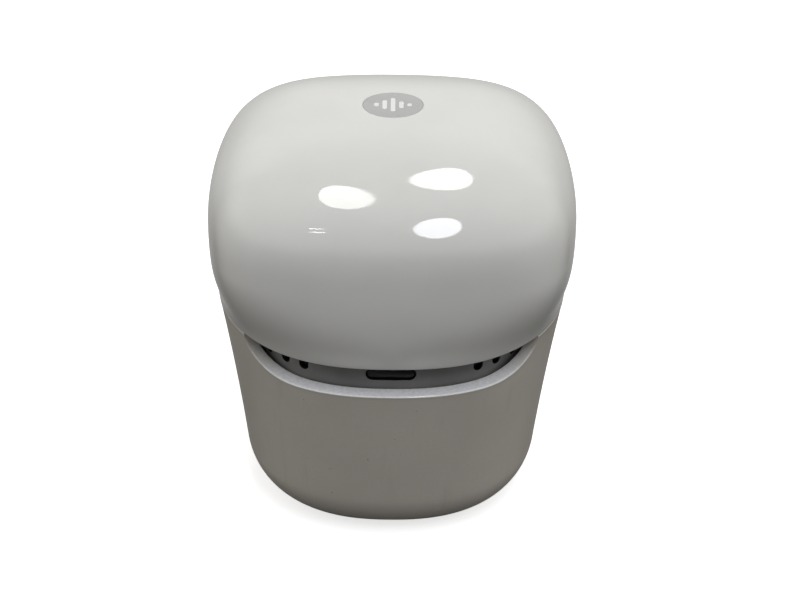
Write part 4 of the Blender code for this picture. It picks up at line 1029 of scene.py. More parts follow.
@dataclass(frozen=True)
class Cap:
    """The glossy cap: dome, skirt, rolled lower edge and the seat of the badge."""

    wall: float = 2.0 * MM
    badge_radius: float = 8.2 * MM
    badge_y: float = 6.45 * MM
    badge_gap: float = 0.07 * MM
    badge_thickness: float = 0.6 * MM
    seat_depth: float = 0.8 * MM
    edge: float = 0.3 * MM
    upper_ring: float = 0.83
    bar_radius: float = 0.62 * MM
    bar_pitch: float = 2.25 * MM
    bar_half_lengths: tuple[float, ...] = (1.2 * MM, 2.9 * MM, 4.4 * MM, 2.2 * MM, 0.9 * MM)
    columns: int = 224

    def rise(self) -> float:
        """The dome's height above the widest level, from the cap's own box."""
        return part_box("cap_shell")[1].z - FORM.widest

    def dome_z(self, x: Array, y: Array) -> Array:
        """The dome's height over plan points."""
        return FORM.dome_height(x, y, self.rise())

    def seat_circle(self, radius: Array, angle: Array) -> tuple[Array, Array]:
        """Plan points on circles about the badge's middle."""
        return radius * np.sin(angle), self.badge_y - radius * np.cos(angle)

    def build_shell(self) -> None:
        """The cap as one closed grid, from the badge's seat over the dome, round the edge and inside.

        Rows between the badge's circle and the dome's upper ring lie on straight plan lines from
        one to the other, lifted to the dome's height.
        """
        angle = np.linspace(0.0, FULL_TURN, self.columns, endpoint=False)
        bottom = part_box("cap_shell")[0].z
        rise = self.rise()
        radius = self.badge_radius + self.badge_gap
        floor_z = self.dome_z(np.array(0.0), np.array(self.badge_y)) - self.seat_depth
        rows = []
        for share in (0.0, 0.5, 1.0):
            x, y = self.seat_circle(radius * share, angle)
            rows.append(np.stack(np.broadcast_arrays(x, y, floor_z), axis=-1))
        lip = 0.05 * MM
        for grow, drop in ((0.0, 3 * lip), (0.0, lip), (0.3 * lip, 0.3 * lip), (lip, 0.0)):
            x, y = self.seat_circle(radius + grow, angle)
            rows.append(np.stack([x, y, self.dome_z(x, y) - drop], axis=-1))
        ring = FORM.dome_ring(angle, np.array(self.upper_ring), rise, 0.0)
        first_x, first_y = self.seat_circle(radius + lip, angle)
        for share in np.linspace(0.0, 1.0, 32)[1:] ** 1.15:
            x = first_x + (ring[:, 0] - first_x) * share
            y = first_y + (ring[:, 1] - first_y) * share
            rows.append(np.stack([x, y, self.dome_z(x, y)], axis=-1))
        shares = np.linspace(self.upper_ring, 0.0, 40)[1:, None]
        rows.extend(FORM.dome_ring(angle, shares, rise, 0.0))
        low = bottom + self.edge
        levels = FORM.widest + (low - FORM.widest) * np.linspace(0.0, 1.0, 36)[1:, None]
        rows.extend(FORM.skirt(angle, levels, 0.0))
        turn = np.linspace(0.0, np.pi / 2, 6)[1:]
        insets = np.concatenate([self.edge * (1 - np.cos(turn)),
                                 self.wall - self.edge * (1 - np.cos(turn[::-1])) * 0.6, [self.wall]])
        drops = np.concatenate([self.edge * (1 - np.sin(turn)), self.edge * (1 - np.sin(turn[::-1])) * 0.6,
                                [self.edge]])
        for inset, lift in zip(insets, drops):
            rows.append(FORM.skirt(angle, np.array(bottom + lift), inset))
        levels = low + (FORM.widest - low) * np.linspace(0.0, 1.0, 14)[1:, None]
        rows.extend(FORM.skirt(angle, levels, self.wall))
        shares = np.append(np.linspace(0.0, 0.985, 30)[1:], 1.0)[:, None]
        rows.extend(FORM.dome_ring(angle, shares, rise, self.wall))
        skin = Skin(np.stack(rows))
        put("cap_glossy_shell", skin, CAP_GLOSS,
                   stands_for=("cap_shell",))

    def build_badge(self) -> None:
        """The disc that follows the dome, and the plain level bars inlaid in it."""
        angle = np.linspace(0.0, FULL_TURN, 96, endpoint=False)
        edge = 0.06 * MM
        profile = [(radius, 0.0) for radius in np.linspace(0.0, self.badge_radius - 2 * edge, 14)]
        profile += [(self.badge_radius - edge, 0.0), (self.badge_radius - 0.3 * edge, 0.3 * edge),
                    (self.badge_radius, edge), (self.badge_radius, self.badge_thickness),
                    (self.badge_radius * 0.5, self.badge_thickness), (0.0, self.badge_thickness)]
        sizes = np.array(profile)
        x, y = self.seat_circle(sizes[:, :1], angle)
        sunk = 0.02 * MM
        skin = Skin(np.stack([x, y, self.dome_z(x, y) - sunk - sizes[:, 1:]], axis=-1))
        put("top_badge_disc", skin, BADGE_PRINT,
            stands_for=("top_badge",))
        bars = Skin()
        middle = (len(self.bar_half_lengths) - 1) / 2
        profile = rounded_profile([(0.0, -0.03 * MM, 0.0), (self.bar_radius, -0.03 * MM, 0.02 * MM),
                                   (self.bar_radius, 0.3 * MM, 0.0), (0.0, 0.3 * MM, 0.0)], 3)
        for number, half in enumerate(self.bar_half_lengths):
            points = looped((0.0, half - self.bar_radius if half > self.bar_radius else 0.0), profile)
            x = points[..., 0] + (number - middle) * self.bar_pitch
            y = points[..., 1] + self.badge_y
            bars.grid(np.stack([x, y, self.dome_z(x, y) - sunk - points[..., 2]], axis=-1), wrap=True)
        put("badge_bars", bars, BADGE_BARS)

    def build(self) -> None:
        """Build the cap and its badge."""
        self.build_shell()
        self.build_badge()
        dress(("cap_carrier",), BLACK_PLASTIC)


@dataclass(frozen=True)
class Body:
    """The satin body: tapering wall, scooped rim with its ledge, floor, bosses and rear opening."""

    wall: float = 2.2 * MM
    ledge_thickness: float = 3.0 * MM
    outer_edge: float = 0.5 * MM
    inner_edge: float = 0.35 * MM
    recess_half_width: float = 28.3 * MM
    opening_half_width: float = 20.0 * MM
    lip_z: float = 3.6 * MM
    floor_z: float = 5.2 * MM
    band: tuple[float, float] = (8.0 * MM, 31.0 * MM)
    panel_gap: float = 0.3 * MM
    panel_radius: float = 2.3 * MM
    base_boss: tuple[float, float] = (17.5 * MM, 3.0 * MM)
    frame_boss: tuple[float, float] = (38.6 * MM, 3.2 * MM)
    hole_radius: float = 1.35 * MM

    def columns(self) -> Array:
        """Angles round the body, close together where the scoop's ends rise.

        Returns:
            The angles, in radians.
        """
        flat = np.linspace(0.0, FORM.scoop_flat, 22)
        share = np.sin(np.linspace(0.0, np.pi / 2, 30))[1:]
        ends = FORM.scoop_flat + (FORM.scoop_end - FORM.scoop_flat) * share
        back = np.linspace(FORM.scoop_end, np.pi, 72)[1:]
        right = np.concatenate([flat, ends, back])
        return np.concatenate([right, FULL_TURN - right[-2:0:-1]])

    def rim_rows(self, angle: Array) -> list[Array]:
        """The wall above the band, over the rim's ledge and back down inside.

        Each row is an inset from the outer wall and a drop below the rim, so it follows the scoop. Insets
        past the middle of the ledge shrink by as much as the ledge narrows at that angle.

        Args:
            angle: the columns.

        Returns:
            The rows in order.
        """
        rim = FORM.rim_height(angle)
        start = self.band[1]
        shares = np.append(np.linspace(0.0, 0.96, 26), 0.99)[:, None]
        levels = start + (rim - self.outer_edge - start) * shares
        rows = list(FORM.body_wall(angle, levels, 0.0))
        profile = rounded_profile([
            (0.0, self.outer_edge * 1.02, 0.0), (0.0, 0.0, self.outer_edge),
            (FORM.ledge, 0.0, self.inner_edge),
            (FORM.ledge, self.ledge_thickness, 0.2 * MM),
            (self.wall, self.ledge_thickness + FORM.ledge - self.wall, 0.0)], 7)
        top = FORM.body_half_width(rim)
        narrowing = FORM.ledge - FORM.ledge_width(angle)
        for inset, drop in profile:
            reach = np.clip((inset - self.wall) / (FORM.ledge - self.wall), 0.0, 1.0)
            width = top - inset + narrowing * reach
            points = FORM.section(width, FORM.body_exponent, angle, rim - drop)
            rows.append(FORM.fuller(points, angle, inset))
        low = rim - profile[-1, 1]
        levels = low + (start - low) * np.linspace(0.0, 1.0, 10)[1:, None]
        rows.extend(FORM.body_wall(angle, levels, self.wall))
        return rows

    def foot_rows(self, angle: Array) -> list[Array]:
        """From the band's inner foot over the floor, down its opening, out along the recess and up.

        Args:
            angle: the columns.

        Returns:
            The rows in order.
        """
        exponent = FORM.body_exponent
        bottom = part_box("body_shell")[0].z
        rows = list(FORM.body_wall(angle, np.linspace(self.band[0], self.floor_z, 5)[:, None], self.wall))
        edge = FORM.body_half_width(np.array(self.floor_z)) - self.wall
        profile = rounded_profile([
            (edge, self.floor_z, 0.0), (self.opening_half_width, self.floor_z, 0.3 * MM),
            (self.opening_half_width, self.lip_z, 0.0), (self.recess_half_width, self.lip_z, 0.0),
            (self.recess_half_width, bottom, 0.3 * MM),
            (float(FORM.body_half_width(np.array(bottom))), bottom, 0.0)], 4)
        rows.extend(FORM.section(width, exponent, angle, np.array(height)) for width, height in profile[1:])
        turn = np.linspace(0.0, 1.0, 18)[1:, None]
        levels = bottom + (self.band[0] - bottom) * turn ** 1.8
        rows.extend(FORM.body_wall(angle, levels, 0.0))
        return rows

    def build(self) -> None:
        """Build the body shell."""
        angle = self.columns()
        skin = Skin()
        low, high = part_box("rear_panel")
        face_high = high.z - 1.0 * MM + self.panel_gap
        centre = (low.z + high.z) / 2
        half = ((high.x - low.x) / 2 - 1.5 * MM + self.panel_gap, face_high - centre)
        core = (half[0] - self.panel_radius, half[1] - self.panel_radius)
        opening = Opening(np.pi, centre, core, self.panel_radius, (np.radians(26.0), 9.6 * MM), 0.3 * MM)
        levels = np.linspace(*self.band, 25)
        along, height = np.meshgrid(angle, levels)
        wall = PiercedWall(FORM.body_wall, along, height, self.wall, (opening,), wrap=True)
        wall.add_to(skin)
        skin.grid(np.stack(self.rim_rows(angle)), wrap=True)
        skin.grid(np.stack(self.foot_rows(angle)), wrap=True)
        self.add_bosses(skin)
        mesh = skin.mesh("body_satin_shell")
        self.mark_ledge_polish_and_light(mesh)
        put("body_satin_shell", mesh, BODY_SATIN, stands_for=("body_shell",))

    def mark_ledge_polish_and_light(self, mesh: bpy.types.Mesh) -> None:
        """Give the points on and just over the edges of the scoop's ledge a polish and painted highlight, 1
        in its flat run.

        A point's drop below the rim and its inset from the rim's own section decide whether it is on the
        ledge. The value fades to nothing as the scoop's ends rise, which leaves the darker body colour there
        as painted shade where the ends turn under the cap.

        Args:
            mesh: the finished shell.
        """
        x, y, z = places(mesh)
        angle = np.arctan2(x, -y)
        rim = FORM.rim_height(angle)
        inset = FORM.body_half_width(rim) - FORM.gauge(x, y, FORM.body_exponent, 0.0)
        marked = (rim - z < self.outer_edge * 0.7) & (inset < FORM.ledge + 0.05 * MM)
        # the value sets the smoother finish and the painted highlight; its fade towards the scoop's ends is
        # painted shade
        mark(mesh, POLISH_AND_PAINTED_LIGHT, marked * (1.0 - FORM.scoop_share(angle) ** 2))

    def add_bosses(self, skin: Skin) -> None:
        """Screw bosses: four on the floor and four that hang below the baffle.

        Args:
            skin: the body's skin, to which they are added.
        """
        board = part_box("power_board")[0].z - GAP
        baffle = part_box("driver_baffle")[0].z - GAP
        offset, radius = self.base_boss
        reach, frame_radius = self.frame_boss
        side = reach / np.sqrt(2.0)
        sets = ((offset, radius, self.floor_z - 0.8 * MM, board), (side, frame_radius, 30.0 * MM, baffle))
        for place, outer, low, high in sets:
            ring = rounded_profile([
                (outer, low, 0.0), (outer, high, 0.3 * MM), (self.hole_radius, high, 0.0),
                (self.hole_radius, low, 0.0), (outer, low, 0.0)], 3)
            for x, y in QUARTERS:
                skin.grid(turned(ring, (x * place, y * place, 0.0), 28), wrap=True)


@dataclass(frozen=True)
class VentCollar:
    """The wall in the crescent, its grey darkened as painted shade from the cap above, with its vents, its
    liner and the smoked window.
    """

    wall: float = 1.8 * MM
    vent_places: tuple[float, ...] = (22.9 * MM, 27.8 * MM, 32.4 * MM)
    vent_breaks: tuple[float, ...] = (29.0, 37.15, 45.65, 54.7)
    vent_width: float = 2.8 * MM
    vent_span: tuple[float, float] = (55.5 * MM, 63.0 * MM)
    pierced_band: tuple[float, float] = (53.2 * MM, 65.3 * MM)
    window: tuple[float, float] = (13.4 * MM, 3.7 * MM)
    window_z: float = 57.2 * MM
    window_break: float = 15.0
    liner_span: float = 63.0
    liner_window: tuple[float, float] = (14.0 * MM, 4.6 * MM)
    liner_wall: float = 0.6 * MM
    ear_radius: float = 3.4 * MM
    ear_height: float = 2.0 * MM
    hole_radius: float = 1.35 * MM
    screw_reach: float = 38.6 * MM

    def half_width(self) -> float:
        """The collar's outer reach, from its node's box."""
        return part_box("vent_collar")[1].x

    def wall_surface(self, angle: Array, height: Array, depth: float) -> Array:
        """Points of the collar's wall, an upright wall of the body's section."""
        return FORM.section(self.half_width() - depth, FORM.body_exponent, angle, height)

    def vent_angle(self, across: float) -> float:
        """The direction from the front of the point of the wall that lies this far across.

        Args:
            across: how far to the side the point lies.

        Returns:
            The angle, in radians.
        """
        width = self.half_width() - self.wall / 2
        depth = (width ** FORM.body_exponent - across ** FORM.body_exponent) ** (1 / FORM.body_exponent)
        return float(np.arctan2(across, depth))

    def columns(self) -> Array:
        """Angles from back to back through the front, with a break at every block's edge.

        Returns:
            The angles, in radians.
        """
        breaks = (0.0, self.window_break, *self.vent_breaks, 180.0)
        counts = (16, 8, 12, 12, 12, 40)
        spans = [np.linspace(first, last, count, endpoint=False)
                 for first, last, count in zip(breaks, breaks[1:], counts)]
        right = np.append(np.concatenate(spans), 180.0)
        return np.radians(np.concatenate([-right[::-1], right[1:-1]]))

    def openings(self) -> tuple[Opening, ...]:
        """Three vents on each side and the window between them.

        Returns:
            The openings, vents first.
        """
        radius = self.vent_width / 2
        low, high = self.vent_span
        middle, half = (low + high) / 2, (high - low) / 2 - radius
        found = []
        for number, across in enumerate(self.vent_places):
            first, last = np.radians(self.vent_breaks[number:number + 2])
            angle = self.vent_angle(across)
            margin = (min(angle - first, last - angle), (high - low) / 2 + 2.1 * MM)
            for side in (-1, 1):
                found.append(Opening(side * angle, middle, (0.0, half), radius, margin))
        radius = self.window[1] / 2
        core = (self.window[0] / 2 - radius, 0.0)
        margin = (np.radians(self.window_break), radius + 2.0 * MM)
        found.append(Opening(0.0, self.window_z, core, radius, margin, 0.2 * MM))
        return tuple(found)

    def build_collar(self) -> None:
        """The collar: a pierced wall closed above and below, with its four screw ears."""
        low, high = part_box("vent_collar")
        foot, head = self.pierced_band
        levels = np.concatenate([np.linspace(low.z, foot, 5)[:-1], np.linspace(foot, head, 21),
                                 np.linspace(head, high.z, 4)[1:]])
        along, height = np.meshgrid(self.columns(), levels)
        skin = Skin()
        PiercedWall(self.wall_surface, along, height, self.wall, self.openings(), wrap=True).add_to(skin)
        for level in (low.z, high.z):
            rows = [self.wall_surface(along[0], np.array(level), depth) for depth in (0.0, self.wall)]
            skin.grid(np.stack(rows), wrap=True)
        side = self.screw_reach / np.sqrt(2.0)
        ear = rounded_profile([
            (self.ear_radius, low.z, 0.0), (self.ear_radius, low.z + self.ear_height, 0.2 * MM),
            (self.hole_radius, low.z + self.ear_height, 0.0), (self.hole_radius, low.z, 0.0),
            (self.ear_radius, low.z, 0.0)], 3)
        for x, y in QUARTERS:
            skin.grid(turned(ear, (x * side, y * side, 0.0), 32), wrap=True)
        mesh = skin.mesh("vent_collar_wall")
        # points inside the openings' throats are marked so that their colour goes near black: painted shade
        x, y, z = places(mesh)
        depth = self.half_width() - FORM.gauge(x, y, FORM.body_exponent, 0.0)
        inside = (depth > 0.12 * MM) & (z > low.z + self.ear_height + MM) & (z < high.z - MM)
        mark(mesh, THROAT_PAINTED_SHADE, inside)
        put("vent_collar_wall", mesh, COLLAR_GREY_PAINTED_SHADE, stands_for=("vent_collar",))

    def build_liner(self) -> None:
        """The acoustic cloth behind the vents, a thin open run of wall with a window."""
        low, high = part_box("acoustic_mesh")
        outer = -low.y

        def surface(angle: Array, height: Array, depth: float) -> Array:
            """Points of the liner, an upright wall of the body's section."""
            return FORM.section(outer - depth, FORM.body_exponent, angle, height)

        angle = np.radians(np.linspace(-self.liner_span, self.liner_span, 127))
        along, height = np.meshgrid(angle, np.linspace(low.z, high.z, 22))
        radius = self.liner_window[1] / 2
        core = (self.liner_window[0] / 2 - radius, 0.0)
        opening = Opening(0.0, self.window_z, core, radius, (np.radians(14.0), 3.3 * MM), 0.05 * MM)
        skin = Skin()
        PiercedWall(surface, along, height, self.liner_wall, (opening,)).add_to(skin)
        rows, columns = loop_cells(0, along.shape[0] - 1, 0, along.shape[1] - 1)
        along, height = along[rows, columns], height[rows, columns]
        edge = [surface(along, height, depth) for depth in (0.0, self.liner_wall)]
        skin.grid(np.stack(edge), wrap=True)
        liner = put("acoustic_liner", skin, ACOUSTIC_CLOTH,
                    stands_for=("acoustic_mesh",))
        run = surface(angle, np.array(low.z), self.liner_wall / 2)

    def build_window(self) -> None:
        """The smoked lens, a bar with a slightly crowned and rounded face."""
        low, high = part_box("status_window")
        radius = (high.z - low.z) / 2
        core = ((high.x - low.x) / 2 - radius, 0.0)
        thick = high.y - low.y
        crown = [(radius * share, 0.12 * MM * share ** 2, 0.0) for share in (0.0, 0.3, 0.6, 0.85)]
        profile = rounded_profile([*crown, (radius, 0.16 * MM, 0.15 * MM), (radius, thick, 0.1 * MM),
                                   (0.0, thick, 0.0)], 4)
        skin = Skin(facing_front(looped(core, profile), 0.0, low.y, (low.z + high.z) / 2))
        put("status_window_lens", skin, SMOKED_LENS,
            stands_for=("status_window",))

    def build(self) -> None:
        """Build the collar, its liner and its window, and dress what stands behind them."""
        self.build_collar()
        self.build_liner()
        self.build_window()
        dress(("status_light",), WHITE_PLASTIC)
        dress(("status_board",), CIRCUIT_BOARD)
        dress(("microphone_left", "microphone_right"), STEEL)


@dataclass(frozen=True)
class RearControls:
    """The rear panel with its power inlet, pairing button and mute slider."""

    face: tuple[float, float] = (30.0 * MM, 11.0 * MM)
    corner: float = 2.0 * MM
    edge: float = 0.3 * MM
    flange: float = 1.0 * MM
    flange_thickness: float = 1.4 * MM
    inlet: tuple[float, float] = (9.8 * MM, 4.1 * MM)
    button_radius: float = 2.0 * MM
    collar_radius: float = 2.9 * MM
    slot: tuple[float, float] = (6.6 * MM, 2.6 * MM)
    slider_x: float = -10.6 * MM
    sleeve_wall: float = 0.32 * MM
    knob: tuple[float, float] = (3.4 * MM, 2.0 * MM)
    shutter: tuple[float, float] = (8.6 * MM, 4.4 * MM)

    def middle_z(self) -> float:
        """The height of the controls, from the panel's box."""
        low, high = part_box("rear_panel")
        return (low.z + high.z) / 2

    def build_panel(self) -> None:
        """The panel: a pierced flat wall with a rounded front edge and a flange behind.

        Its grid's rows keep to the outline: x = share * (core + sqrt(r ** 2 - (|z| - core) ** 2)).
        """
        low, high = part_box("rear_panel")
        centre_z = self.middle_z()
        core = (self.face[0] / 2 - self.corner, self.face[1] / 2 - self.corner)
        radius = self.corner - self.edge

        def surface(x: Array, z: Array, depth: float) -> Array:
            """Points of the flat panel, with depth running in from its face."""
            return np.stack(np.broadcast_arrays(x, high.y - depth, z), axis=-1)

        rise = np.concatenate([np.linspace(0.0, core[1], 9)[:-1],
                               core[1] + radius * np.sin(np.linspace(0.0, np.pi / 2, 8))])
        z = np.concatenate([-rise[:0:-1], rise])[:, None]
        over = np.maximum(np.abs(z) - core[1], 0.0)
        reach = core[0] + np.sqrt(np.maximum(radius ** 2 - over ** 2, 0.0))
        share = np.linspace(-1.0, 1.0, 61)[None]
        along, height = reach * share, np.repeat(z, share.size, axis=1) + centre_z
        bar = self.inlet[1] / 2
        slot = self.slot[1] / 2
        button_x = (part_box("pairing_button")[0].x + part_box("pairing_button")[1].x) / 2
        tall = 3.0 * MM
        openings = (
            Opening(0.0, centre_z, (self.inlet[0] / 2 - bar, 0.0), bar, (6.1 * MM, tall), 0.3 * MM),
            Opening(button_x, centre_z, (0.0, 0.0), self.button_radius + GAP, (3.9 * MM, tall), 0.2 * MM),
            Opening(self.slider_x, centre_z, (self.slot[0] / 2 - slot, 0.0), slot, (4.0 * MM, tall),
                    0.2 * MM))
        thickness = high.y - low.y
        skin = Skin()
        PiercedWall(surface, along, height, thickness, openings).add_to(skin)
        rows, columns = loop_cells(0, along.shape[0] - 1, 0, along.shape[1] - 1)
        border = np.stack([along[rows, columns], height[rows, columns] - centre_z], axis=-1)
        anchor = np.clip(border, -np.array(core), core)
        direction = (border - anchor) / radius
        profile = rounded_profile([
            (radius, 0.0, 0.0), (self.corner, 0.0, self.edge * 0.98),
            (self.corner, thickness - self.flange_thickness, 0.0),
            (self.corner + self.flange, thickness - self.flange_thickness, 0.0),
            (self.corner + self.flange, thickness, 0.1 * MM), (radius, thickness, 0.0)], 5)
        plan = anchor + profile[:, :1, None] * direction
        depth = np.broadcast_to(profile[:, 1:], plan.shape[:2])
        skin.grid(np.stack([plan[..., 0], high.y - depth, plan[..., 1] + centre_z], axis=-1), wrap=True)
        put("rear_panel_plate", skin, BLACK_PLASTIC,
            stands_for=("rear_panel",))

    def build_inlet(self) -> None:
        """The drawn steel sleeve of the power inlet, its tongue and its rows of contacts."""
        low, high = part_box("inlet_shell")
        centre_z = self.middle_z()
        radius = (high.z - low.z) / 2
        core = ((high.x - low.x) / 2 - radius, 0.0)
        deep = high.y - low.y
        inner = radius - self.sleeve_wall
        profile = rounded_profile([
            (0.0, deep, 0.0), (radius, deep, 0.5 * MM), (radius, 0.0, 0.12 * MM), (inner, 0.0, 0.12 * MM),
            (inner, deep - 1.0 * MM, 0.2 * MM), (0.0, deep - 1.0 * MM, 0.0)], 4)
        skin = Skin(facing_back(looped(core, profile), 0.0, high.y, centre_z))
        put("inlet_sleeve", skin, STEEL, stands_for=("inlet_shell",))
        low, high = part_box("inlet_tongue")
        deep = high.y - low.y
        half = ((high.x - low.x) / 2, (high.z - low.z) / 2)
        corner = 0.2 * MM
        profile = rounded_profile([(0.0, 0.0, 0.0), (corner, 0.0, 0.1 * MM), (corner, deep, 0.0),
                                   (0.0, deep, 0.0)], 3)
        points = looped((half[0] - corner, half[1] - corner), profile, fill=True)
        skin = Skin(facing_back(points, 0.0, high.y, centre_z))
        put("inlet_tongue_blade", skin, BLACK_PLASTIC,
            stands_for=("inlet_tongue",))
        contacts = Skin()
        pad = np.array([(0.0, 0.0), (0.07, 0.0), (0.1, 0.03), (0.1, 0.08), (0.0, 0.08)]) * MM
        for number in range(12):
            for side in (-1, 1):
                strip = looped((0.0, 1.6 * MM), pad)
                x = strip[..., 0] + (number - 5.5) * 0.5 * MM
                y = high.y - 2.2 * MM + strip[..., 1]
                z = centre_z + side * (half[1] + 0.03 * MM - strip[..., 2])
                contacts.grid(np.stack([x, y, z], axis=-1), wrap=True)
        put("inlet_contacts", contacts, GOLD)

    def build_button(self) -> None:
        """The pairing button: a turned soft key with a dished face and a collar behind."""
        low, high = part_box("pairing_button")
        deep = high.y - low.y
        collar = high.y - (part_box("rear_panel")[0].y - 0.6 * MM)
        dish = [(self.button_radius * share, -0.18 * MM * (1 - (share / 0.75) ** 2), 0.0)
                for share in (0.0, 0.2, 0.4, 0.6)]
        profile = rounded_profile([
            *dish, (self.button_radius * 0.75, 0.0, 0.3 * MM), (self.button_radius, 0.0, 0.35 * MM),
            (self.button_radius, -collar, 0.0), (self.collar_radius, -collar, 0.1 * MM),
            (self.collar_radius, -deep, 0.1 * MM), (0.0, -deep, 0.0)], 6)
        skin = Skin()
        centre = ((low.x + high.x) / 2, high.y, self.middle_z())
        skin.grid(turned(profile, centre, 64, backwards=True), wrap=True)
        put("pairing_button_key", skin, SILICONE, "pairing_button",
            ("pairing_button",))

    def build_slider(self) -> None:
        """The mute slider: a ribbed knob, the shutter behind the slot and its colour mark."""
        low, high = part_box("mute_slider")
        centre_x, centre_z = (low.x + high.x) / 2, self.middle_z()
        deep = high.y - low.y
        corner = 0.5 * MM
        core = (self.knob[0] / 2 - corner, self.knob[1] / 2 - corner)
        profile = rounded_profile([(0.0, 0.0, 0.0), (corner, 0.0, 0.25 * MM), (corner, deep - 0.3 * MM, 0.0),
                                   (0.0, deep - 0.3 * MM, 0.0)], 5)
        skin = Skin(facing_back(looped(core, profile, fill=True), centre_x, high.y, centre_z))
        rib = np.array([(0.0, -0.1), (0.08, -0.08), (0.14, 0.0), (0.14, 0.2), (0.0, 0.2)]) * MM
        for place in (-0.8, 0.0, 0.8):
            points = looped((0.0, 0.5 * MM), rib)
            skin.grid(facing_back(points, centre_x + place * MM, high.y, centre_z), wrap=True)
        corner = 0.8 * MM
        thick = 0.8 * MM
        core = (self.shutter[0] / 2 - corner, self.shutter[1] / 2 - corner)
        profile = rounded_profile([(0.0, 0.0, 0.0), (corner, 0.0, 0.1 * MM), (corner, thick, 0.1 * MM),
                                   (0.0, thick, 0.0)], 3)
        face = low.y + thick
        skin.grid(facing_back(looped(core, profile, fill=True), centre_x, face, centre_z), wrap=True)
        put("mute_slider_knob", skin, BLACK_PLASTIC, "mute_slider",
            ("mute_slider",))
        flag = Skin()
        profile = np.array([(0.0, 0.0), (0.45, 0.0), (0.5, 0.03), (0.5, 0.2), (0.0, 0.2)]) * MM
        points = looped((0.0, 0.9 * MM), profile)
        flag.grid(facing_back(points, centre_x - 2.55 * MM, face + 0.05 * MM, centre_z), wrap=True)
        put("mute_flag", flag, MUTE_ORANGE, "mute_slider")

    def build(self) -> None:
        """Build the panel and its controls, and dress what stands behind them."""
        self.build_panel()
        self.build_inlet()
        self.build_button()
        self.build_slider()
        dress(("power_board",), CIRCUIT_BOARD)
        dress(("bulk_capacitor", "pairing_switch"), BLACK_PLASTIC)
        dress(("mute_switch", "power_board_screw_1", "power_board_screw_2"), STEEL)


@dataclass(frozen=True)
class Base:
    """The moulded foot pad and the base plate that it sits on."""

    ring_edges: tuple[float, ...] = (23.2 * MM, 21.6 * MM, 18.6 * MM, 17.4 * MM)
    groove: float = 0.35 * MM

    def build(self) -> None:
        """The pad: a rounded plate of the body's section with two sunk rings in its underside."""
        low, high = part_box("foot_pad")
        width = high.x
        corners = [(0.0, high.z, 0.0), (width, high.z, 0.2 * MM), (width, low.z, 0.4 * MM)]
        for outer, inner in zip(self.ring_edges[::2], self.ring_edges[1::2]):
            corners += [(outer, low.z, 0.1 * MM), (outer, low.z + self.groove, 0.1 * MM),
                        (inner, low.z + self.groove, 0.1 * MM), (inner, low.z, 0.1 * MM)]
        profile = rounded_profile([*corners, (0.0, low.z, 0.0)], 4)
        angle = np.linspace(0.0, FULL_TURN, 144, endpoint=False)
        skin = Skin(FORM.section(profile[:, :1], FORM.body_exponent, angle, profile[:, 1:]))
        put("foot_pad_moulded", skin, SILICONE,
            stands_for=("foot_pad",))
        dress(("base_plate",), BLACK_PLASTIC)
        dress([f"base_screw_{number}" for number in range(1, 5)], STEEL)


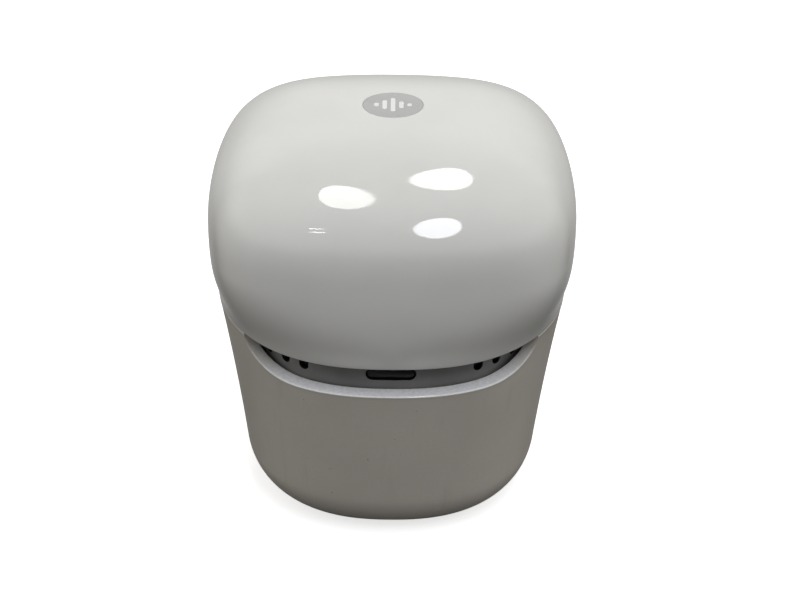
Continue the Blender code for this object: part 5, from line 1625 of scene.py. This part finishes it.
@dataclass(frozen=True)
class Driver:
    """The driver, its baffle and the soft parts that let the cone move."""

    sectors: int = 8
    surround_roll: tuple[float, float] = (21.9 * MM, 26.2 * MM)
    surround_foot: float = 1.2 * MM
    surround_wall: float = 0.5 * MM
    spider_reach: tuple[float, float] = (8.0 * MM, 18.3 * MM)
    spider_wall: float = 0.4 * MM
    spider_wave: float = 0.35 * MM
    gasket_width: float = 2.4 * MM
    gasket_bulge: float = 0.15 * MM

    def suspension(self, name: str, under: Array, wall: float,
                   finish: Finish, node: str) -> None:
        """A ring in equal sectors, each reaching from the frame to the diaphragm across its width.

        The ring is the profile turned about +Z. Two neighbours meet where both measure the same distance
        along their own middle direction, so their edges match.

        Args:
            name: the pieces' name, to which each adds its number.
            under: the lower profile as (radius, height), from the middle out.
            wall: the thickness above it.
            finish: the ring's finish.
            node: the node it stands for.
        """
        above = under + (0.0, wall)
        sweep = FULL_TURN / self.sectors
        for number in range(self.sectors):
            middle = number * sweep
            turn = middle + np.linspace(-0.5, 0.5, 13) * sweep
            way = np.stack([np.cos(turn), np.sin(turn)], axis=-1)
            sheets = []
            for profile in (under, above):
                plan = profile[:, None, :1] * way
                height = np.broadcast_to(profile[:, None, 1:], (*plan.shape[:2], 1))
                sheets.append(np.concatenate([plan, height], axis=-1))
            skin = Skin()
            for sheet in sheets:
                skin.grid(sheet)
            for take in (np.s_[0], np.s_[-1], np.s_[:, 0], np.s_[:, -1]):
                skin.grid(np.stack([sheets[0][take], sheets[1][take]]))
            label = f"{name}_{number + 1}"
            mesh = skin.mesh(label)
            piece = link_up(label, mesh)
            mesh.materials.append(finish.material())
            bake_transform(piece)
            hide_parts(node)
        LOG.info("made %s in %d sectors", name, self.sectors)

    def build_surround(self) -> None:
        """The rubber roll: a half circle between two flat feet."""
        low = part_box("surround")[0].z
        inner, outer = self.surround_roll
        middle, radius = (inner + outer) / 2, (outer - inner) / 2
        turn = np.linspace(np.pi, 0.0, 17)
        roll = np.stack([middle + radius * np.cos(turn), low + radius * np.sin(turn)], axis=-1)
        feet = np.array([(inner - self.surround_foot, low)]), np.array([(outer + self.surround_foot, low)])
        self.suspension("surround_roll", np.concatenate([feet[0], roll, feet[1]]), self.surround_wall,
                        SURROUND_RUBBER, "surround")

    def build_spider(self) -> None:
        """The corrugated cloth: two full sine waves from the coil's former to the basket."""
        low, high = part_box("spider")
        middle = (low.z + high.z - self.spider_wall) / 2
        inner, outer = self.spider_reach
        share = np.linspace(0.0, 1.0, 49)
        wave = middle + self.spider_wave * np.sin(share * 4 * np.pi)
        profile = np.stack([inner + (outer - inner) * share, wave], axis=-1)
        self.suspension("spider_cloth_sector", profile, self.spider_wall, SPIDER_CLOTH, "spider")

    def build_gasket(self) -> None:
        """The soft foam ring under the driver's flange, with bulged sides."""
        low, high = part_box("baffle_gasket")
        outer = high.x
        inner = outer - self.gasket_width
        middle = (low.z + high.z) / 2
        bulge = self.gasket_bulge
        ring = rounded_profile([
            (outer - bulge, low.z, 0.0), (outer, middle, 0.5 * MM), (outer - bulge, high.z, 0.15 * MM),
            (inner + bulge, high.z, 0.15 * MM), (inner, middle, 0.5 * MM), (inner + bulge, low.z, 0.15 * MM),
            (outer - bulge, low.z, 0.0)], 4)
        skin = Skin(turned(ring, (0.0, 0.0, 0.0), 96))
        gasket = put("baffle_gasket_foam", skin, FOAM,
                     stands_for=("baffle_gasket",))

    def build(self) -> None:
        """Build the soft parts and dress the rest of the driver."""
        self.build_surround()
        self.build_spider()
        self.build_gasket()
        dress(("driver_baffle",), BLACK_PLASTIC)
        dress(("driver_basket",), BLACK_STEEL)
        dress(("yoke", "front_plate"), STEEL)
        dress(("driver_magnet",), MAGNET)
        dress(("voice_coil",), COPPER_WIRE)
        dress(("voice_coil_former",), POLYIMIDE)
        dress(("cone", "dust_cap"), PAPER_CONE)
        screws = [f"{kind}_screw_{number}" for kind in ("driver", "frame") for number in range(1, 5)]
        dress(screws, STEEL)
        dress(("speaker_cable",), CABLE_RED)
        dress(("power_cable",), CABLE_BLACK)


@dataclass(frozen=True)
class Electronics:
    """The boards in the cap and the soft pad between the touch board and the badge."""

    def build(self) -> None:
        """Build the soft touch pad and dress the boards and their parts."""
        low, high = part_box("touch_electrode")
        radius = (high.x - low.x) / 2
        centre = ((low.x + high.x) / 2, (low.y + high.y) / 2, 0.0)
        crown = 0.12 * MM
        profile = rounded_profile([
            (0.0, high.z, 0.0), (radius * 0.6, high.z - crown * 0.3, 0.0),
            (radius - 0.2 * MM, high.z - crown, 0.5 * MM), (radius, (low.z + high.z) / 2, 1.0 * MM),
            (radius - 0.2 * MM, low.z, 0.4 * MM), (0.0, low.z, 0.0)], 5)
        skin = Skin(turned(profile, centre, 64))
        pad = put("touch_pad_foam", skin, FOAM, stands_for=("touch_electrode",))
        dress(("main_board", "touch_board"), CIRCUIT_BOARD)
        dress(("shield_can", "wireless_module", "main_board_screw_1", "main_board_screw_2"), STEEL)
        dress(("ribbon_socket",), WHITE_PLASTIC)
        dress(("touch_bracket",), BLACK_PLASTIC)
        dress(("touch_ribbon",), POLYIMIDE)


# --------------------------------------------------------------------- studio

@dataclass(frozen=True)
class Lamp:
    """A soft oval ceiling lamp seen from the speaker in a direction, with its angular size."""

    name: str
    direction: Colour
    spread: tuple[float, float]
    radiance: float
    colour: Colour = (1.0, 1.0, 0.98)
    distance: float = 1.6

    def build(self, target: Vector) -> None:
        """Hang the lamp, with its width along X and its power from its radiance and area.

        Args:
            target: the point that it faces.
        """
        light = bpy.data.lights.new(self.name, "AREA")
        light.shape = "ELLIPSE"
        light.size, light.size_y = 2 * self.distance * np.tan(np.radians(self.spread) / 2)
        light.energy = self.radiance * np.pi * light.size * light.size_y * np.pi / 4
        light.color = self.colour
        outward = Vector(self.direction).normalized()
        across = (Vector((1.0, 0.0, 0.0)) - outward * outward.x).normalized()
        turn = Matrix((across, outward.cross(across), outward)).transposed()
        lamp = link_up(self.name, light)
        lamp.matrix_world = Matrix.Translation(target + outward * self.distance) @ turn.to_4x4()


@dataclass(frozen=True)
class Studio:
    """Camera, lamps, surroundings and the pale floor."""

    camera_place: Colour = (0.0, -0.4026, 0.3030)
    target: Colour = (0.0, 0.0, 0.05313)
    lens: float = 74.3
    shift: tuple[float, float] = (0.0107, 0.0078)
    roll: float = np.radians(0.45)
    lamps: tuple[Lamp, ...] = (
        Lamp("lamp_left", (-0.11, 0.164, 0.98), (8.6, 27.1), 9.0),
        Lamp("lamp_back", (0.107, 0.486, 0.868), (9.2, 20.2), 8.0),
        Lamp("lamp_front", (0.142, -0.526, 0.839), (9.5, 32.7), 12.0, (0.93, 0.95, 1.0)),
        Lamp("lamp_upper_tube", (-0.26, -0.55, 0.79), (5.0, 2.0), 12.0),
        Lamp("lamp_lower_tube", (-0.26, -0.63, 0.73), (5.0, 2.0), 12.0))
    ambient: tuple[float, float, float] = (0.03, 0.78, 0.1)
    around: float = 0.45
    floor_half: float = 4.0
    floor_glow: float = 0.62

    def build_camera(self) -> None:
        """The camera, rolled slightly about its line of sight."""
        camera = bpy.data.cameras.new("camera")
        camera.lens = self.lens
        camera.shift_x, camera.shift_y = self.shift
        holder = link_up("camera", camera)
        sight = Vector(self.target) - Vector(self.camera_place)
        turn = sight.to_track_quat("-Z", "Y").to_matrix() @ Matrix.Rotation(self.roll, 3, "Z")
        holder.matrix_world = Matrix.Translation(self.camera_place) @ turn.to_4x4()
        bpy.context.scene.camera = holder

    def build_world(self) -> None:
        """A soft ring of light high up all round, fading to overhead and below, and a white backdrop."""
        world = bpy.data.worlds.new("studio")
        world.use_nodes = True
        bpy.context.scene.world = world
        bench = Bench(world.node_tree)
        world.node_tree.nodes.clear()
        place = bench.add("TexCoord").outputs["Generated"]
        up = bench.add("SeparateXYZ", {0: place}).outputs[2]
        below, ring, overhead = self.ambient
        rising = bench.span(up, -0.03, 0.45, below, ring)
        level = bench.times(rising, bench.span(up, 0.4, 1.0, 1.0, overhead / ring))
        across, along = (bench.add("SeparateXYZ", {0: place}).outputs[axis] for axis in (0, 1))
        sideways = bench.math("MAXIMUM", bench.math("ABSOLUTE", across), along)
        aside = bench.span(sideways, 0.55, 0.95, 0.0, self.around)
        window = bench.times(bench.span(up, -0.9, -0.4), bench.span(up, 0.2, 0.8, 1.0, 0.3))
        level = bench.math("ADD", level, bench.times(aside, window))
        soft = bench.add("Background", {"Color": (1.0, 0.985, 0.96, 1.0), "Strength": level})
        white = bench.add("Background", {"Color": (1.0, 1.0, 1.0, 1.0), "Strength": 1.0})
        seen = bench.add("LightPath").outputs["Is Camera Ray"]
        mixed = bench.add("MixShader", {0: seen, 1: soft.outputs[0], 2: white.outputs[0]})
        out = bench.add("OutputWorld")
        bench.feed(out.inputs["Surface"], mixed.outputs[0])

    def build_floor(self) -> None:
        """A wide pale sheet at the foot of the speaker, which lights it only a little."""
        half = self.floor_half
        mesh = bpy.data.meshes.new("floor")
        mesh.from_pydata([(-half, -half, 0.0), (half, -half, 0.0), (half, half, 0.0), (-half, half, 0.0)],
                         [], [(0, 1, 2, 3)])
        floor = link_up("floor", mesh)
        material, bench, shader, point = start_material("pale_floor")
        cloud = bench.noise(point, 0.01, 2.0)
        pale, paler = (0.88, 0.88, 0.88, 1.0), (0.92, 0.92, 0.92, 1.0)
        bench.feed(shader.inputs["Base Color"], bench.blend(cloud, pale, paler))
        settings = {"Roughness": 0.9, "Specular IOR Level": 0.1, "Emission Color": (1.0, 1.0, 1.0, 1.0),
                    "Emission Strength": self.floor_glow}
        for label, value in settings.items():
            shader.inputs[label].default_value = value
        mesh.materials.append(material)
        floor.visible_diffuse = False
        floor.visible_glossy = False
        floor.visible_shadow = False

    def build(self) -> None:
        """Build the whole studio."""
        bpy.context.scene.view_settings.view_transform = "Standard"
        self.build_camera()
        self.build_world()
        self.build_floor()
        for lamp in self.lamps:
            lamp.build(Vector((0.0, 0.0, 0.1)))


def main() -> None:
    """Build the patterns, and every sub-assembly in order and the studio."""
    logging.basicConfig(level=logging.INFO, format="%(name)s: %(message)s")
    make_pattern_groups()
    for assembly in (Studio(), Cap(), Body(), VentCollar(), RearControls(), Base(), Driver(), Electronics()):
        LOG.info("building %s", type(assembly).__name__)
        assembly.build()


if __name__ == "__main__":
    main()
